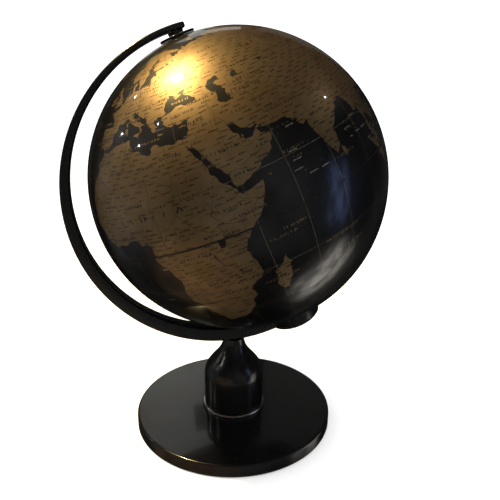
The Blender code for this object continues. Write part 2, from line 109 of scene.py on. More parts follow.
# Coasts, lakes and borders of the world, written from general geography: "longitude latitude" in degrees.
LANDS = """
-5.9 35.8,-5.3 35.9,-4.3 35.2,-2.9 35.3,-2 35.1,-1.2 35.7,.1 36,1.5 36.5,3 36.8,5.1 36.8,6.5 37.1,8.2 36.9,9.8 37.3,
10.4 36.8,11 37,10.5 36.3,10.7 35.4,11 35.1,10.1 34.2,10.4 33.7,11.2 33.2,12.3 32.8,13.3 32.9,14.2 32.7,15.3 32.4,
15.6 31.5,16.9 31,18.2 30.4,19.2 30.3,20.1 31,20 32.1,21 32.8,22.2 32.9,23.2 32.4,23.1 32.2,24.9 31.9,25.3 31.5,
27.3 31.3,28.9 30.8,30.2 31.3,31 31.6,32.2 31.3,32.5 29.9,32.7 29,33.5 28,33.9 27,34.4 26,35.5 24,35.8 23.9,36.7 22.2,
37.2 21,37.3 19.6,37.5 18.7,38.6 18,39.3 15.9,40.4 14.9,41.8 13.9,43.1 12.5,43.3 11.6,43.2 11.4,44.3 10.4,46 10.7,
48 11.1,49.8 11.4,51.2 11.9,51.1 10.4,50.1 8.1,49 6.4,48 4.5,46.5 2.8,45.3 2,43.8 .6,42.5 -.4,41.6 -1.7,40.3 -2.6,
39.6 -4.1,38.8 -5.9,39.5 -6.9,39.4 -8.2,39.9 -9.7,40.5 -10.7,40.6 -12.9,40.7 -15,39.8 -16.5,37.9 -17.4,36.9 -18,
35 -19.9,34.7 -20.6,35.4 -22.1,35.5 -23.8,33.5 -24.9,32.7 -25.9,32.9 -27,32.4 -28.5,31 -29.9,29.3 -31.6,28 -33,
25.7 -34,24 -34,22.2 -34.1,20 -34.8,18.5 -34.3,18.3 -33.9,18 -32.8,18.2 -31.7,17.2 -29.8,16.5 -28.6,15.3 -27,
15 -26.3,14.5 -23.5,13.4 -20.9,12 -18.2,11.8 -16.8,12.5 -14.5,13.6 -12.3,13.8 -10.7,13.1 -8.8,12.3 -6.1,11.8 -4.8,
9.8 -2.6,8.8 -.7,9.4 .4,9.6 2.2,9.7 3.8,8.8 4.6,7 4.4,6 4.3,5 5.8,4.3 6.4,1.2 6.1,-.5 5.4,-2 4.8,-3.8 5.2,-5.9 5,
-7.5 4.4,-9.3 5.7,-11 6.6,-12.9 7.8,-13.4 9,-14.8 10.9,-16.6 12.3,-16.8 13.4,-17.5 14.7,-16.5 16,-16.1 18,-16.3 19.3,
-17 21,-16.3 22.7,-15.9 23.8,-14.8 25.6,-13 27.7,-11.2 28.5,-9.7 29.9,-9.8 31.5,-8.6 33.2,-6.8 34.1;
34.3 31.3,34.9 32.8,35.5 33.9,35.8 35.3,36.1 36.6,35 36.7,33.7 36.2,32.2 36.1,30.6 36.8,30.4 36.3,29.2 36.3,28.2 36.7,
27.3 37.4,26.3 38.3,26.9 39,26.1 39.5,26.3 40.1,27.5 40.4,29 40.6,29.1 41,31.2 41.1,33 42,35.1 42,36.2 41.3,38.4 41,
40 41,41.5 41.6,41.5 42.6,40 43.4,37.8 44.7,37.3 45.3,38.1 46.3,39.2 47.1,37.2 46.9,35.2 46.3,34.9 45.7,36.5 45.4,
35.4 45,33.9 44.4,32.8 45.4,33.6 46,31.8 46.6,30.7 46.5,29.7 45.2,28.6 43.8,27.8 42.6,28.1 41.6,29 41.3,28 41,
27.2 40.6,26.2 40.2,26.8 40.6,25.9 40.8,24.4 40.8,23.8 40.2,22.9 40.5,22.7 39.5,23.2 39,23 38.8,24.1 38,24 37.7,
23.1 37.9,23.2 37.3,22.9 36.5,22.4 36.6,21.7 36.8,21.3 37.6,21.4 38.2,20.7 38.8,20.1 39.5,19.4 40.4,19.5 41.7,
18.5 42.4,16.8 43.2,15.2 44.2,14.9 45.1,13.9 44.9,13.7 45.7,12.4 45.4,12.4 44.3,13.6 43.5,14.1 42.5,15.2 41.9,
16.1 41.8,16.8 41.1,18.4 40.2,17.2 40.4,16.6 39.6,17.1 39,16.5 38.3,15.7 37.9,16.1 38.9,15.7 40,14.3 40.8,13 41.2,
12.2 41.8,10.8 42.7,10.2 43.8,8.9 44.4,7.5 43.8,6.2 43.1,4.5 43.4,3.1 43.2,3.2 42.2,2.1 41.3,.8 40.9,-.3 39.5,.2 38.7,
-.7 37.8,-2 36.8,-4.5 36.7,-5.6 36,-6.4 36.8,-7.4 37.2,-8.9 37,-8.8 38.4,-9.5 38.8,-8.8 40.7,-8.8 42,-9.2 43.1,
-8 43.7,-5.8 43.6,-3.8 43.5,-1.8 43.4,-1.2 44.6,-1.1 46,-2.2 47.2,-4.5 47.9,-4.7 48.5,-3 48.8,-1.5 48.7,-1.8 49.7,
-.2 49.3,1.5 50.2,1.7 50.9,3.5 51.4,4.5 52.3,4.8 53,6.8 53.5,8.6 53.8,8.1 55.5,8.2 57,10.6 57.7,10.4 56.5,9.7 55.3,
10 54.5,11 54,12.5 54.4,14.2 53.9,16.5 54.5,18.6 54.6,19.7 54.5,21 55.3,21 56.8,22.5 57.7,23.5 57,24.4 57.3,24 58.4,
23.5 59.2,25.5 59.6,28 59.6,30.2 59.9,28.5 60.6,25 60.1,22.9 59.9,21.3 60.9,21.2 62.8,22.8 63.8,25.3 65,24.2 65.8,
22.2 65.6,21.2 64.6,19 63.2,17.4 61.6,18.8 60,18.3 59.1,16.8 58.5,16.5 57,16 56.2,14.3 55.5,12.9 55.5,12.4 56.6,
11.2 59,10.6 59.5,9.5 58.9,7 58,5.6 58.7,5 60.5,5 62,7 63,9.7 63.9,11.8 65,13.1 66.8,15 68.2,18 69.6,21.5 70.1,
25.7 71.1,28.5 71,31 70.3,33 69.4,36 69.1,40.8 67.7,41 66.6,38.5 66.1,34.5 66.6,33 66.7,34.8 65.2,35.2 64.3,38 63.9,
37.5 64.7,40.4 64.6,39.8 65.6,42.2 66.4,44.1 66.2,43.9 67.1,43.9 68.4,46 68,46.5 66.9,48 67.6,53.9 68.8,57 68.6,
60 68.9,60.4 69.8,64.9 69.3,68.5 68.3,67.2 69.6,66.9 70.8,69 72.8,72.6 72.8,72.5 71.2,72.2 69.3,73.5 67.8,71.7 66.4,
74 67,73.9 68.5,74.2 69.6,73.5 71.5,75.2 72.6,78.5 72.4,80.8 73.6,86.3 74,87 75.1,92.5 76,98 76.3,104.3 77.7,
107 76.6,112.5 75.9,113.5 74,110 74,106.5 73.2,113.5 73.5,118.7 73,123.2 73.2,126.8 73.5,129.2 71.2,133 71.5,
139.5 72,141 72.8,149.5 72.2,153 70.9,159.8 70.2,161 69.4,168.3 69.8,170.5 69,176 69.8,180 69,185 67.2,190.2 66.1,
187 64.5,182 65.3,178.2 64.6,179.3 62.4,174 61.7,170.3 60,166 59.9,163 58,163.1 56.2,160 53.1,156.7 51,155.6 54,
155.8 56.8,159.5 59.3,163.4 61.8,160 61.8,156.6 61.2,154.5 59.5,151 59.2,145 59.4,141.5 58.8,137.7 55.2,135.5 54.7,
139.3 54,141.3 53.2,140.5 50.5,140 48,136.8 45.4,135 43.6,132 43.2,130.8 42.3,129.8 41.2,127.5 39.8,128.4 38.5,
129.4 37,129.3 35.4,127 34.5,126.5 36,126.8 37.4,125 38,125.2 39.5,124.2 39.9,121.5 38.9,122 40.5,121 40.8,
118.6 39.2,117.8 38.6,119 37.3,120.8 37.8,122.5 37.2,120.3 36,119.2 35,120.7 33.4,121.9 31.8,121.8 30.9,120.8 30.3,
121.9 29.7,121.5 28.5,119.8 26.3,118.5 24.7,116.8 23.2,114.2 22.3,113.4 22,111.3 21.5,110.4 20.3,109.7 21.4,
108 21.6,106.6 20.3,105.7 18.9,107.2 16.7,109 15,109.3 12.8,109 11.4,107.2 10.4,106.6 9.6,104.9 8.6,105 10,
103.5 10.6,102.9 11.8,101 12.7,100.9 13.4,100 13.3,99.8 12,99.3 10.4,100 9.2,100.6 7.2,102.2 6.2,103.4 4.8,103.5 2.6,
104.2 1.4,103.4 1.3,101.3 2.9,100.4 5.5,99.6 6.9,98.3 8,98.7 10.2,98.6 12.2,97.8 15,97.2 16.8,95.4 15.8,94.3 16,
94.5 17.6,93.7 19.7,92.3 21,91.7 22.5,90.5 22.6,89 21.7,87 21.5,86.8 20.6,85.1 19.6,82.3 16.7,81.2 16,80.1 15.3,
80.3 13.4,79.8 11.5,79.9 10.3,79 9.4,78.2 8.8,77.5 8.1,76.3 9.9,75.4 11.8,74.4 14.5,73.3 16.8,72.8 19.1,72.7 21,
72.3 21.9,72 21.1,70.9 20.7,69.1 22.2,70.3 22.9,68.5 23.5,67.2 24.4,66.6 25.4,64.5 25.3,61.7 25.1,59 25.4,
57.2 25.9,56.9 27.1,54.8 26.6,52.6 27.5,50.9 28.9,50.1 30.1,48.9 30.3,48 29.6,48.6 28,50.1 26.6,50.2 25.6,50.8 24.8,
50.8 25.6,51.2 26.1,51.6 25.2,51.5 24.3,52.6 24.2,54 24.2,55.5 25.5,56.2 26.3,56.4 25,57 24,58.6 23.6,59.8 22.5,
59 21.2,57.8 20.2,57.7 19,56.4 18,55.1 17.3,53 16.7,52.2 15.6,49.4 14.6,47.5 13.6,45 12.8,43.5 12.7,43.2 13.3,
42.8 15,42.6 16.6,41.1 18.9,39.2 21.2,38.9 22.2,37.2 24.5,35.6 27.4,34.7 28.1,35 29.5,34.3 27.8,33.2 28.8,32.6 29.9,
32.3 31.2;
-5.6 50.1,-3.5 50.3,-1.3 50.7,1.3 51.1,1.7 52.6,.3 53,-.1 54,-1.6 55.5,-3 56,-2 57.4,-3.3 57.7,-3.1 58.6,-5 58.6,
-5.9 57.3,-5.6 56.2,-4.9 55.2,-3.3 54.9,-3 53.8,-4.5 53.3,-4.3 52.5,-5.2 51.8,-3 51.5,-4.2 51.1;
-6 52.2,-6.1 53.8,-5.6 54.5,-7.3 55.3,-8.5 54.4,-10 54,-9.3 53.1,-10.3 52,-8.5 51.7;
-22.5 63.9,-18.8 63.4,-14.6 64.4,-14.7 65.7,-16.3 66.5,-20.3 65.9,-22.4 66.4,-24.2 65.5,-22 64.6;
14 77.6,17 76.6,21 78.2,25 80,18 80.2,11 79.6;
51.5 71.8,57.5 70.6,56 72.8,61 75.2,68.5 76.6,66 77,58 75.5,54.5 73.6;
48 80.6,58 80.2,64 80.8,56 81.5;96 79,105 78.7,103 79.8,96 81;137 75.6,142 74.8,150 75,146 75.6,140 76;
178.7 71,182.3 71.2,180 71.6;
12.5 37.8,15.1 36.7,15.6 38.2,13 38.2;8.4 39,9.6 39.2,9.7 41,8.3 40.9;8.7 41.5,9.5 42,9.4 43,8.6 42.5;
23.6 35.3,24.8 34.9,26.3 35.2,24 35.6;32.3 34.9,33.8 34.9,34.5 35.6,33 35.3;
49.3 -12,50.5 -15.5,49.6 -16,49.4 -18,47.8 -23,47 -25,45.2 -25.5,43.8 -23.5,43.3 -22,44.4 -20,44.2 -16.5,46.3 -15.7,
48 -13.6;53.4 12.6,54.5 12.5,53.8 12.3;79.8 8.2,79.9 6.9,80.6 6,81.8 7,81.2 8.6,80 9.8;
120.1 23,120.9 22,121.6 24.2,121.9 25.1,121 25;108.7 19.2,109.6 18.2,110.5 18.8,111 19.7,110.3 20.1,109.3 19.9;
130.9 34,132.4 34.3,135 34.6,135.8 33.5,136.9 34.7,138.8 34.7,139.9 35,140.8 35.7,141 38.2,142 39.5,141.4 41.4,
140 40.6,139.4 38.6,137 37.5,136 35.8,133 35.5;129.8 33.3,131 33.9,132 33,131.4 31.4,130.6 31.1,130.1 32.2;
132.4 33.9,134.6 34.2,134.3 33.4,133 32.8;140.2 41.5,141.2 42.5,143.2 42,145.4 43.3,144.3 44.1,141.9 45.4,
141.6 43.4,140.3 43.2;142 46,143.4 46.8,142.8 48,144.6 49,143.4 52,143 54.3,142 53,142 50;
120.6 18.5,122.2 18.4,122.1 16,121.6 14.2,124 12.7,123.6 13.5,120.7 13.9,120.2 16;
122 7,124 6.5,125.5 5.8,126.4 7,126 9.3,124.5 8.5,123.5 8.6;122 11.8,125.5 12.2,125.2 10.2,122.5 9.7;
117.3 8.4,119.5 10.8,119.3 11.3,118.2 10;
109 1.7,109.6 2,111.3 2.7,113 3.2,115 5.2,116.7 7,119.2 5.2,117.9 4.1,117.8 1,117.5 -.8,116.4 -3.8,114.5 -4.1,
113 -3.3,110.2 -2.9,109 .3;95.3 5.6,97.5 5.2,100.3 3,103.7 0,104.5 -1.7,106 -3.2,105.8 -5.8,104.5 -5.8,102.3 -4,
100.4 -1,98.8 1.6,97 3.2;105.2 -6.8,106.1 -5.9,108.5 -6.7,110.9 -6.4,112.7 -7,114.5 -7.8,114.4 -8.7,111 -8.3,
108.5 -7.8,106.4 -7.4;119.5 -5.6,120.4 -5.6,120.4 -3,121.5 -4.8,122.8 -4,122 -3,121.3 -1.9,123.3 -.9,120.5 -.9,
120.1 .4,124 .4,125.2 1.6,123 .9,120.8 1.3,119.8 .1,119.4 -3.4;127.6 1.9,128.6 1.3,128 -.8,127.7 .5;
127.9 -3.2,130.8 -3.4,129 -2.8;123.6 -10.3,127.2 -8.4,125 -9;116.8 -9,119 -8.3,122.9 -8.2,120 -8.9;
131 -.8,134 -.8,134.9 -3.3,137.8 -1.5,141 -2.6,144.5 -3.9,147.8 -6,147 -6.8,148.5 -9,150.8 -10.4,147.5 -10.1,
144 -7.7,142.5 -9.2,139 -8.1,138 -8.4,137.8 -5.3,135 -4.4,133 -4,132.9 -2.8,132 -2.2;
148.4 -5.7,151.5 -4.3,152.3 -4.2,151 -6;164 -20.2,167 -22.2,166 -22;155 -5.2,156.8 -6.8,155.5 -6.6;
113.8 -22.6,114.2 -21.8,116.8 -20.6,119 -20,121.5 -19,122.2 -17.3,123.6 -17.2,124.5 -15.8,126.8 -14,128.2 -15,
129.6 -14.9,130.6 -12.5,132.6 -11.5,135.3 -12.2,136.8 -12.2,136 -13.3,135.5 -14.9,137.5 -16,139.2 -17.4,140.8 -17.5,
141.6 -15,141.7 -12.6,142.5 -10.8,143.5 -12.8,143.8 -14.4,145.3 -15.2,146 -18,148.5 -20,149.6 -22.3,151 -23.5,
153.1 -25.2,153.5 -28.2,152.8 -31.2,151.3 -33.5,150 -37.2,148 -37.9,146.4 -39.1,144.7 -38.2,143.5 -38.8,140.5 -38,
139.7 -36.5,138 -35.6,138.1 -34.3,137 -35.2,137.8 -32.8,136 -34.7,135.3 -34.6,134.2 -32.8,131 -31.5,128 -32,
125.8 -32.3,123.9 -33.9,120 -33.9,118 -35.1,115.1 -34.3,115.7 -32,114.6 -29,113.4 -26.2,113.6 -24;
144.7 -40.8,148.2 -40.9,148 -42.9,146.8 -43.6,145.5 -42.5;
172.8 -34.5,174.8 -36.8,175.8 -36.8,178.4 -37.7,177 -39.5,176 -41.2,174.7 -41.3,175 -39.9,173.8 -39.3,174.7 -37.5;
172.7 -40.6,174.2 -41.5,172.8 -43.5,171 -45.5,169 -46.6,166.6 -46,168.3 -44.2,171.2 -42.4;
-168 65.6,-163 66.5,-166.5 68.3,-163 69.7,-156.6 71.3,-150 70.5,-141 69.6,-135 69.3,-128 70.2,-124.5 69.6,-115 68.2,
-109 67.9,-108 68.6,-98 67.8,-95.5 71.8,-93 69,-90 68.8,-86 67.5,-82 69.6,-81.5 67.5,-86.5 66.3,-87 64.5,-91 63.2,
-94.5 61,-94.2 58.8,-92.5 57,-88 56.5,-82.3 55.2,-82 53,-80 51.3,-79 51.5,-79 54.3,-76.7 56.3,-78.5 58.8,-77.4 62.3,
-73.5 62.3,-69.7 61,-69.5 58.8,-66 58.8,-64.5 60.3,-61.5 57,-59.5 55,-56 53,-55.7 52.2,-60 50.2,-66 50.2,-70 47.5,
-65 48.9,-64.5 47,-61.5 45.7,-60 46.5,-63.5 44.6,-66 43.5,-65 45,-67 44.8,-70 43.7,-70.8 42,-70 41.8,-71.5 41.3,
-74 40.6,-74.5 39.3,-75.5 37.9,-76 36.9,-75.6 35.3,-77.8 34,-79.3 33.2,-81.2 31.7,-81.4 30,-80 27,-80.4 25.2,
-81.8 26,-82.8 27.9,-82.8 29,-84 30,-85.3 29.7,-88 30.3,-89.5 29.2,-91.5 29.5,-94.5 29.4,-97 27.8,-97.3 26,
-97.8 22.5,-96 19.2,-94.5 18.2,-91.5 18.6,-90.5 20.5,-88 21.6,-86.8 21,-87.5 18.8,-88.3 16,-84 15.8,-83.3 14.7,
-83.6 11,-82 9,-79.6 9.5,-77.3 8.5,-77.9 7.2,-78.5 8.6,-80 7.4,-82.8 8.2,-85.7 10,-87.7 13,-91.5 14,-94.5 16.2,
-98 16.2,-101.8 17.7,-105.5 20,-105.3 21.7,-108 25.2,-111 28,-113 31.3,-114.8 31.8,-113 28.5,-111 25.5,-109.5 23.1,
-112 25,-114.2 28,-115.8 30,-117.2 32.8,-120.6 34.5,-122.5 37.6,-124.3 40.4,-124 44.5,-124.6 48.3,-122.5 47.5,
-123 49,-127.5 51.5,-130.3 54.5,-134 58,-139.5 59.6,-145 60.4,-149 59.9,-151.5 60.8,-153.5 59,-158 56.5,-163 54.8,
-160 56.5,-157.3 58.5,-162 58.8,-165.5 61.3,-164.5 63,-161 64.2;
-77.3 8.5,-75.5 10.6,-73 11.3,-71.6 12.3,-71.6 10.8,-70 12,-68 10.6,-64.8 10.2,-62 10.6,-60 8.4,-57 6,-52 4.7,
-50 1.8,-50 0,-48.5 -.8,-44.3 -2.6,-40 -2.9,-37 -4.9,-35.2 -5.8,-34.8 -8,-37 -11,-39 -13.5,-39 -17.7,-41 -22,
-44.6 -23.2,-48.5 -26,-48.8 -28.5,-52 -32.8,-54.9 -35,-58.3 -34,-57 -36.4,-57.8 -38,-62.2 -39,-62.5 -41,-65 -41,
-63.6 -42.6,-65.3 -44.8,-67.4 -46,-65.8 -47.8,-69 -50.5,-68.4 -52.4,-65.3 -54.8,-68 -55.5,-71 -54,-74.8 -51.5,
-75.5 -47.5,-73.5 -45,-73 -42,-73.5 -38,-71.6 -33,-71.4 -29,-70.3 -20,-70.4 -18.3,-75.5 -15.3,-77.2 -12,-79.7 -7.2,
-81.3 -4.7,-80 -2.8,-80.8 -1,-80 .8,-78.8 1.5,-77.3 4,-77.9 7.2;
-73 78.3,-67 76,-58.5 75.5,-54 71.2,-51 69.5,-53.7 67,-52 64.5,-48.5 61,-43.7 60,-42.5 62.5,-40 65,-33 67.8,-25 70,
-22 71,-20 75,-18.5 77.5,-17 80,-25 82.5,-33 83.5,-50 82.6,-60 82,-67 80.5;
-80 73.7,-72 71.5,-67 69,-61.5 66.6,-65 65,-66 62,-74 64.5,-78 65.5,-73 67.8,-80 70,-89 71,-88 73.6;
-117 69.7,-105 69,-104.5 71.5,-110 73,-118 71.5;-90 76.5,-78 76.5,-75 79,-62 82.5,-75 83.1,-90 81.8,-88 79;
-125 72,-121 71.3,-116 73.2,-123 74.3;-93 75,-80 74.7,-81 75.7,-92 76.5;-116 75.2,-106 75,-109 76.5;
-102 72.8,-97 72,-96 73.5,-99 74;-59 47.6,-53 46.7,-52.8 48.5,-55.8 51.5,-57.5 50.5;
-84.9 21.9,-81 23.2,-77 21.7,-74.2 20.2,-77.7 19.9,-78.5 21.5;-74.4 18.4,-71.5 17.6,-68.4 18.5,-70 19.8,-73.3 19.9;
-78.3 18.3,-76.3 17.9,-77.5 18.6;-67.2 18,-65.7 18.1,-66.5 18.6;-156 20,-155 19.5,-155.7 19;
-61 -51.8,-58 -51.5,-59 -52.3;69 -49,70.5 -49.3,69 -49.7;
-180 -78,-165 -78.3,-158 -77.5,-150 -77,-135 -74.5,-120 -73.8,-105 -74.8,-100 -73,-85 -73.3,-75 -71.5,-67 -68,
-57.5 -63.3,-61.5 -66,-62 -70,-60 -74,-68 -78,-50 -78,-36 -78,-27 -76,-18 -73,-10 -71,0 -70.3,10 -70,25 -70,
33 -68.7,40 -69.5,50 -66.8,58 -67.2,69 -68.5,73 -70,78 -69,88 -66.8,100 -66,110 -66.3,115 -66.6,130 -66.2,
140 -66.7,155 -68.7,165 -70.6,170 -71.6,167 -77.5
"""
LAKES = """
49 46.4,51.4 46.9,53 46.8,53 45.3,51.2 45.2,51 44.5,50.3 44.4,51.3 43.3,52.7 42.7,52.7 41.7,53.7 41,53 40,53.7 39,
53.9 37.2,51.5 36.7,49.4 37.5,48.9 38.4,49.7 40.3,49 41.3,47.6 42.9,46.9 44.5;58.3 44.3,60 46.5,61.5 46,61 44,59 43.6;
31.7 -.6,33 .3,33.9 .2,34.1 -1.2,33 -2.6,31.8 -2.5;29.2 -3.4,29.9 -6,31.1 -8.7,30.6 -8.7,29.2 -6;
34 -9.6,34.9 -12,35 -14.2,34.3 -12;103.8 51.5,108.2 52.6,109.7 55.7,107 53.3;73.6 45.4,79 46.4,75 46.8,73.8 46.2;
30.8 60,32.9 60.3,31 61.6;34.6 61.2,36.4 61,35 62.6;-92 46.7,-88 46.9,-84.8 46.5,-86 48.6,-88.5 48.6;
-87.8 42,-86.4 42,-86.2 44.5,-85 45.8,-87.7 45;-84 45.9,-83.4 44,-82.5 43.2,-81.6 43.5,-80.2 44.6,-81 46;
-83.3 41.8,-79 42.8,-81.5 42.6;-79.5 43.4,-76.5 43.8,-78.8 43.9;-99 53.8,-97 50.5,-97.8 53.7;
-125 65.5,-121 64.9,-118.5 66.5,-123 66.7;-117 61.2,-112 62,-110 62.9,-115 62.3;38.3 8,38.5 7.2,38 7
"""
BORDERS = """
25 31.6,25 22,37 22;25 22,25 20,24 20,24 19.5,16 23.4,14 22.6,12 23.5,9.4 26.2,9.9 27,9.5 30.3,11.5 33.1;
12 23.5,5.8 19.5,4.2 19.1,3.2 19,1.2 21.1,-4.8 25,-8.7 27.3,-8.7 28.7,-3.6 31,-1.2 32.3,-1.7 33.7,-2.2 35.1;
8.5 36.9,8.3 35,7.5 33.8,9 32.1,9.5 30.3;-8.7 27.3,-8.7 26,-12 26,-12 23.4,-13 23,-13 21.3,-17 21.3;
-4.8 25,-6.5 25,-5.6 16.5,-5.5 15.5,-9.3 15.5,-12.2 14.8,-14.5 16.6,-16.4 16.1;
15 23,15.5 20,13.6 14,10 13.3,7 13,4 13.7,3.6 11.7,2.7 6.4;4.2 19.1,4 16.2,.2 15,-2 14.2,-5 11.5,-5.4 10.4;
24 19.5,24 15.7,22.3 13,22.9 11,24.5 8.9,28 9.4,31 9.7,33.1 12,34.1 8.6,34.3 10.6,36.1 12.7,36.5 14.3,37 17,38.6 18;
36.5 14.3,39 14.6,42.4 12.5,42.4 11,42.9 10,44 9,47 8,48 8,45 5,42 4.2,39.5 3.4,38 3.6,36 4.4,34 4.2,30.8 3.5;
34.1 8.6,33 7.8,35.3 5.4,36 4.4;42 4.2,41 2.8,41 -.9,41.6 -1.7;39.2 -4.7,37.7 -3.3,34 -1,34.5 1.1,34 4.2;
30.8 3.5,31.3 2.2,29.6 -.5,29 -2.7,29.3 -4.4;30.7 -8.3,28.6 -8.5,28.5 -12,29.8 -13.4,29 -13.4,27 -12,24 -11,22 -11,
21.8 -7.3,17 -8,16.5 -5.9,12.5 -5.9;30.8 3.5,27.4 5.1,22.4 4.1,18.6 4.3,18.6 3.5,17.8 .3,16 -2,16 -4,13 -4.5,12 -5;
27.4 5.1,24.5 8.9;22.9 11,18.6 8,15.5 7.5,15 10,14.5 12.8,13.5 10.3,12 7.5,10 6.9,8.8 4.8;15.5 7.5,14.5 5,16 1.7,
13 2.2,9.7 2.2;13 2.2,14 -.5,14 -2.4,11.2 -3.9;11.8 -17.3,14 -17.4,18.5 -17.4,21.4 -17.9,23.3 -17.6,25.2 -17.8;
21 -18,21 -22,20 -22,20 -28.4,17.4 -28.7,16.5 -28.6;24 -11,24 -13,22 -13,22 -16.2,23.3 -17.6;
20 -24.8,20.7 -26.8,22.7 -25.5,25.6 -25.6,26.9 -23.7,29.4 -22.2,27.8 -20.5,25.2 -17.8,28.9 -16,30.4 -15.7;
29.4 -22.2,31.3 -22.4,32.6 -20.5,33 -17.5,30.4 -15.7,30.3 -14.9,33.2 -14,32.7 -13.6,34.3 -14.4;
31.3 -22.4,32 -24.5,32 -26.8,32.9 -26.8;34.9 -11.6,37.8 -11.6,40.4 -10.5;30.8 -8.3,32.9 -9.4,34 -9.5;
27 -29.6,28.6 -28.7,29.3 -29.8,28 -30.6,27 -29.6;-3 5.1,-2.8 9.6,-2.8 11,0 11.1,1 11,2.7 9;-7.5 4.4,-8.4 7.6,-7.9 10.1,
-11.4 12.2,-12.2 14.8;35 29.4,36.1 29.2,37.5 30,37 31.5,39.2 32.2,42 31.1,44.7 29.2,46.5 29.1,47.7 28.5,48.4 28.5;
39.2 32.2,38.8 33.4,41 34.4,41.2 36.5,42.4 37.1,38 36.8,36.7 36.8,36 36;42.4 37.1,44.8 37.2,46.1 35.8,45.5 34,
47.6 32,47.9 31,48.5 30;44.8 37.2,44.3 39.4,44.8 39.7,46.5 38.9,48 39.5,48.9 38.4;41.5 41.5,43.5 41.1,44.8 39.7;
43.5 41.1,46.6 41.8,48.5 41.8;40 43.4,44 42.6,46.6 41.8;53.9 37.3,56.5 38.2,59.3 37.5,61.2 35.6,60.5 34,61 31.4,
60.9 29.9,62.8 28.3,63.2 27.2,61.6 25.2;61 29.8,66.3 29.8,66.4 30.9,69.3 31.9,70 33.4,71.5 34.2,71.5 36,74.5 37.1,
77.8 35.5;61.2 35.6,64.6 36.5,66.5 37.4,68 37,70.2 37.7,71.5 38.3,73.5 37.3,74.5 37.1;
68.2 23.7,71 24.4,70 26.5,72 28,73.9 29.9,74.5 31,75.3 32.3,74 33,74 34.7,77.8 35.5,79 32.5,81 30.2,85 28.3,
88.1 27.9,89 27.4,92 27.8,97 28.3,95 26.5,93.3 24,92.5 21.5;81 30.2,80.1 28.9,84 27.4,88.1 26.5,88.1 27.9;
88.9 22,88.5 24.5,88.5 26.3,92 25.2,91.5 23.5;42.8 16.4,43.4 17.4,46.5 17.2,49 18.6,52 19,55 20,55.7 22,55.2 22.7,
52.6 22.9,51.6 24.2;52 19,53.1 16.7;49 46.3,47 48,46.7 48.5,48.5 50.5,51 51.5,55 50.8,60 50.8,61.5 53,69 55.3,
71 54.2,76.8 54.3,80 50.8,83 51,87.3 49.1,85.5 47,82.5 45.4,80.3 45,80.2 42.1,74 43.2,71 42.5,67.8 41.2,61 44.4,
58.5 45.5,56 45,56 41.3,52.7 42.2;56 41.3,60 42.2,62 40.2,66.5 37.4;71 42.5,70 41,73.5 39.5,73.5 37.3;
73.5 39.5,80.2 42.1;87.3 49.1,91 46.5,96 42.8,105 41.7,112 43.5,115.7 47.8,116.7 49.8,108 49.5,102 51.4,98 52,92 50.8,
87.3 49.1;116.7 49.8,120 53.2,126 52.8,127.5 49.8,131 47.7,135 48.4,133 45,131 43,130.7 42.3;
97 28.3,98.7 25.8,97.6 24,99.5 22.5,101.7 21.2,104 22.8,106.6 22.6,108 21.5;100.1 20.3,97.5 18.3,98.8 16,99.5 12.2,
98.7 10.2;100.1 20.3,101.2 18,104.5 17.7,105.5 14.4,102.5 13.6,102.8 11.8;102.2 22.4,104.5 20.2,107.5 14.7,106 11.3,
104.6 10.4;124.3 40,126.8 41.7,129.7 42.4;126.5 37.8,128.3 38.5;109.6 2,114.5 1.4,117.5 4.1;141 -2.6,141 -9.1;
-7.4 37.2,-7 38.8,-6.5 41.9,-8.8 41.9;-1.8 43.4,.7 42.7,3.2 42.4;2.6 51,6 49.5,8.2 49,7.6 47.6,6.1 46.2,7 45.9,
7.5 43.8;14.3 53.9,14.8 51,12.2 50.3,13.8 48.7,13 47.6,9.6 47.5,7.6 47.6;7 45.9,10 46.6,13.8 46.5,16.2 46.9,
18.9 45.9,21 46.2,22.6 48.1,26.6 48.3,28.2 45.5;14.8 51,18.8 49.5,22.6 49.1,24 50.7,23.6 52.6,23.9 54,19.8 54.4;
24 51.7,31.8 52.1,34 52,40 49.6,38.2 47.1;31.8 52.1,31 54.5,28.2 56.2,27.7 57.4,27.9 59.4;28.2 56.2,26.6 55.7,
23.5 54,21 55.2;28 43.8,22.7 44.2,21.4 44.8,22.6 48.1;26.4 41.7,23 41.3,21 40.9,20 39.7;16.2 46.9,17 45.2,19 44.9,
18.5 42.5;27.9 60.5,31.5 62.9,29 66,28.5 68.2,30.8 69.8;11.2 59,12.3 61,12.2 63.8,15 66,20.5 69,24 65.8;
-123 49,-95 49,-89 48,-83 46,-82.4 43,-79 43,-75 45,-71 45.3,-69 47.4,-67 45;-117.1 32.5,-111 31.3,-106.5 31.7,
-103 29,-99.5 27.5,-97.2 25.9;-141 69.6,-141 60.3,-135 59,-130 55.3;-92 14.6,-90.5 17.8,-88.3 18.5;
-60 5.2,-60.7 2,-67 1.5,-69.5 0,-70 -4.2,-73.5 -7,-70 -11,-65.3 -10,-60 -14,-58 -18,-57.7 -22,-54.3 -24,-53.8 -27.2,
-57.6 -30.2;-69.5 -52,-72.5 -50,-71.5 -45,-71 -39,-70 -33,-68.5 -27,-67 -22.8,-62.5 -22.2,-58 -25,-54.6 -25.6;
-70 -18.3,-69 -15.5,-69.5 -11;-79 1.4,-75.3 -.1,-70 -4.2;-80.2 -3.4,-75.3 -.1;-71.5 11.5,-72.4 7.4,-67.4 6.2,-67 1.5;
129 -14.9,129 -31.6;138 -16.7,138 -26,129 -26;138 -26,141 -26,141 -38;141 -29,153.4 -28.4
"""
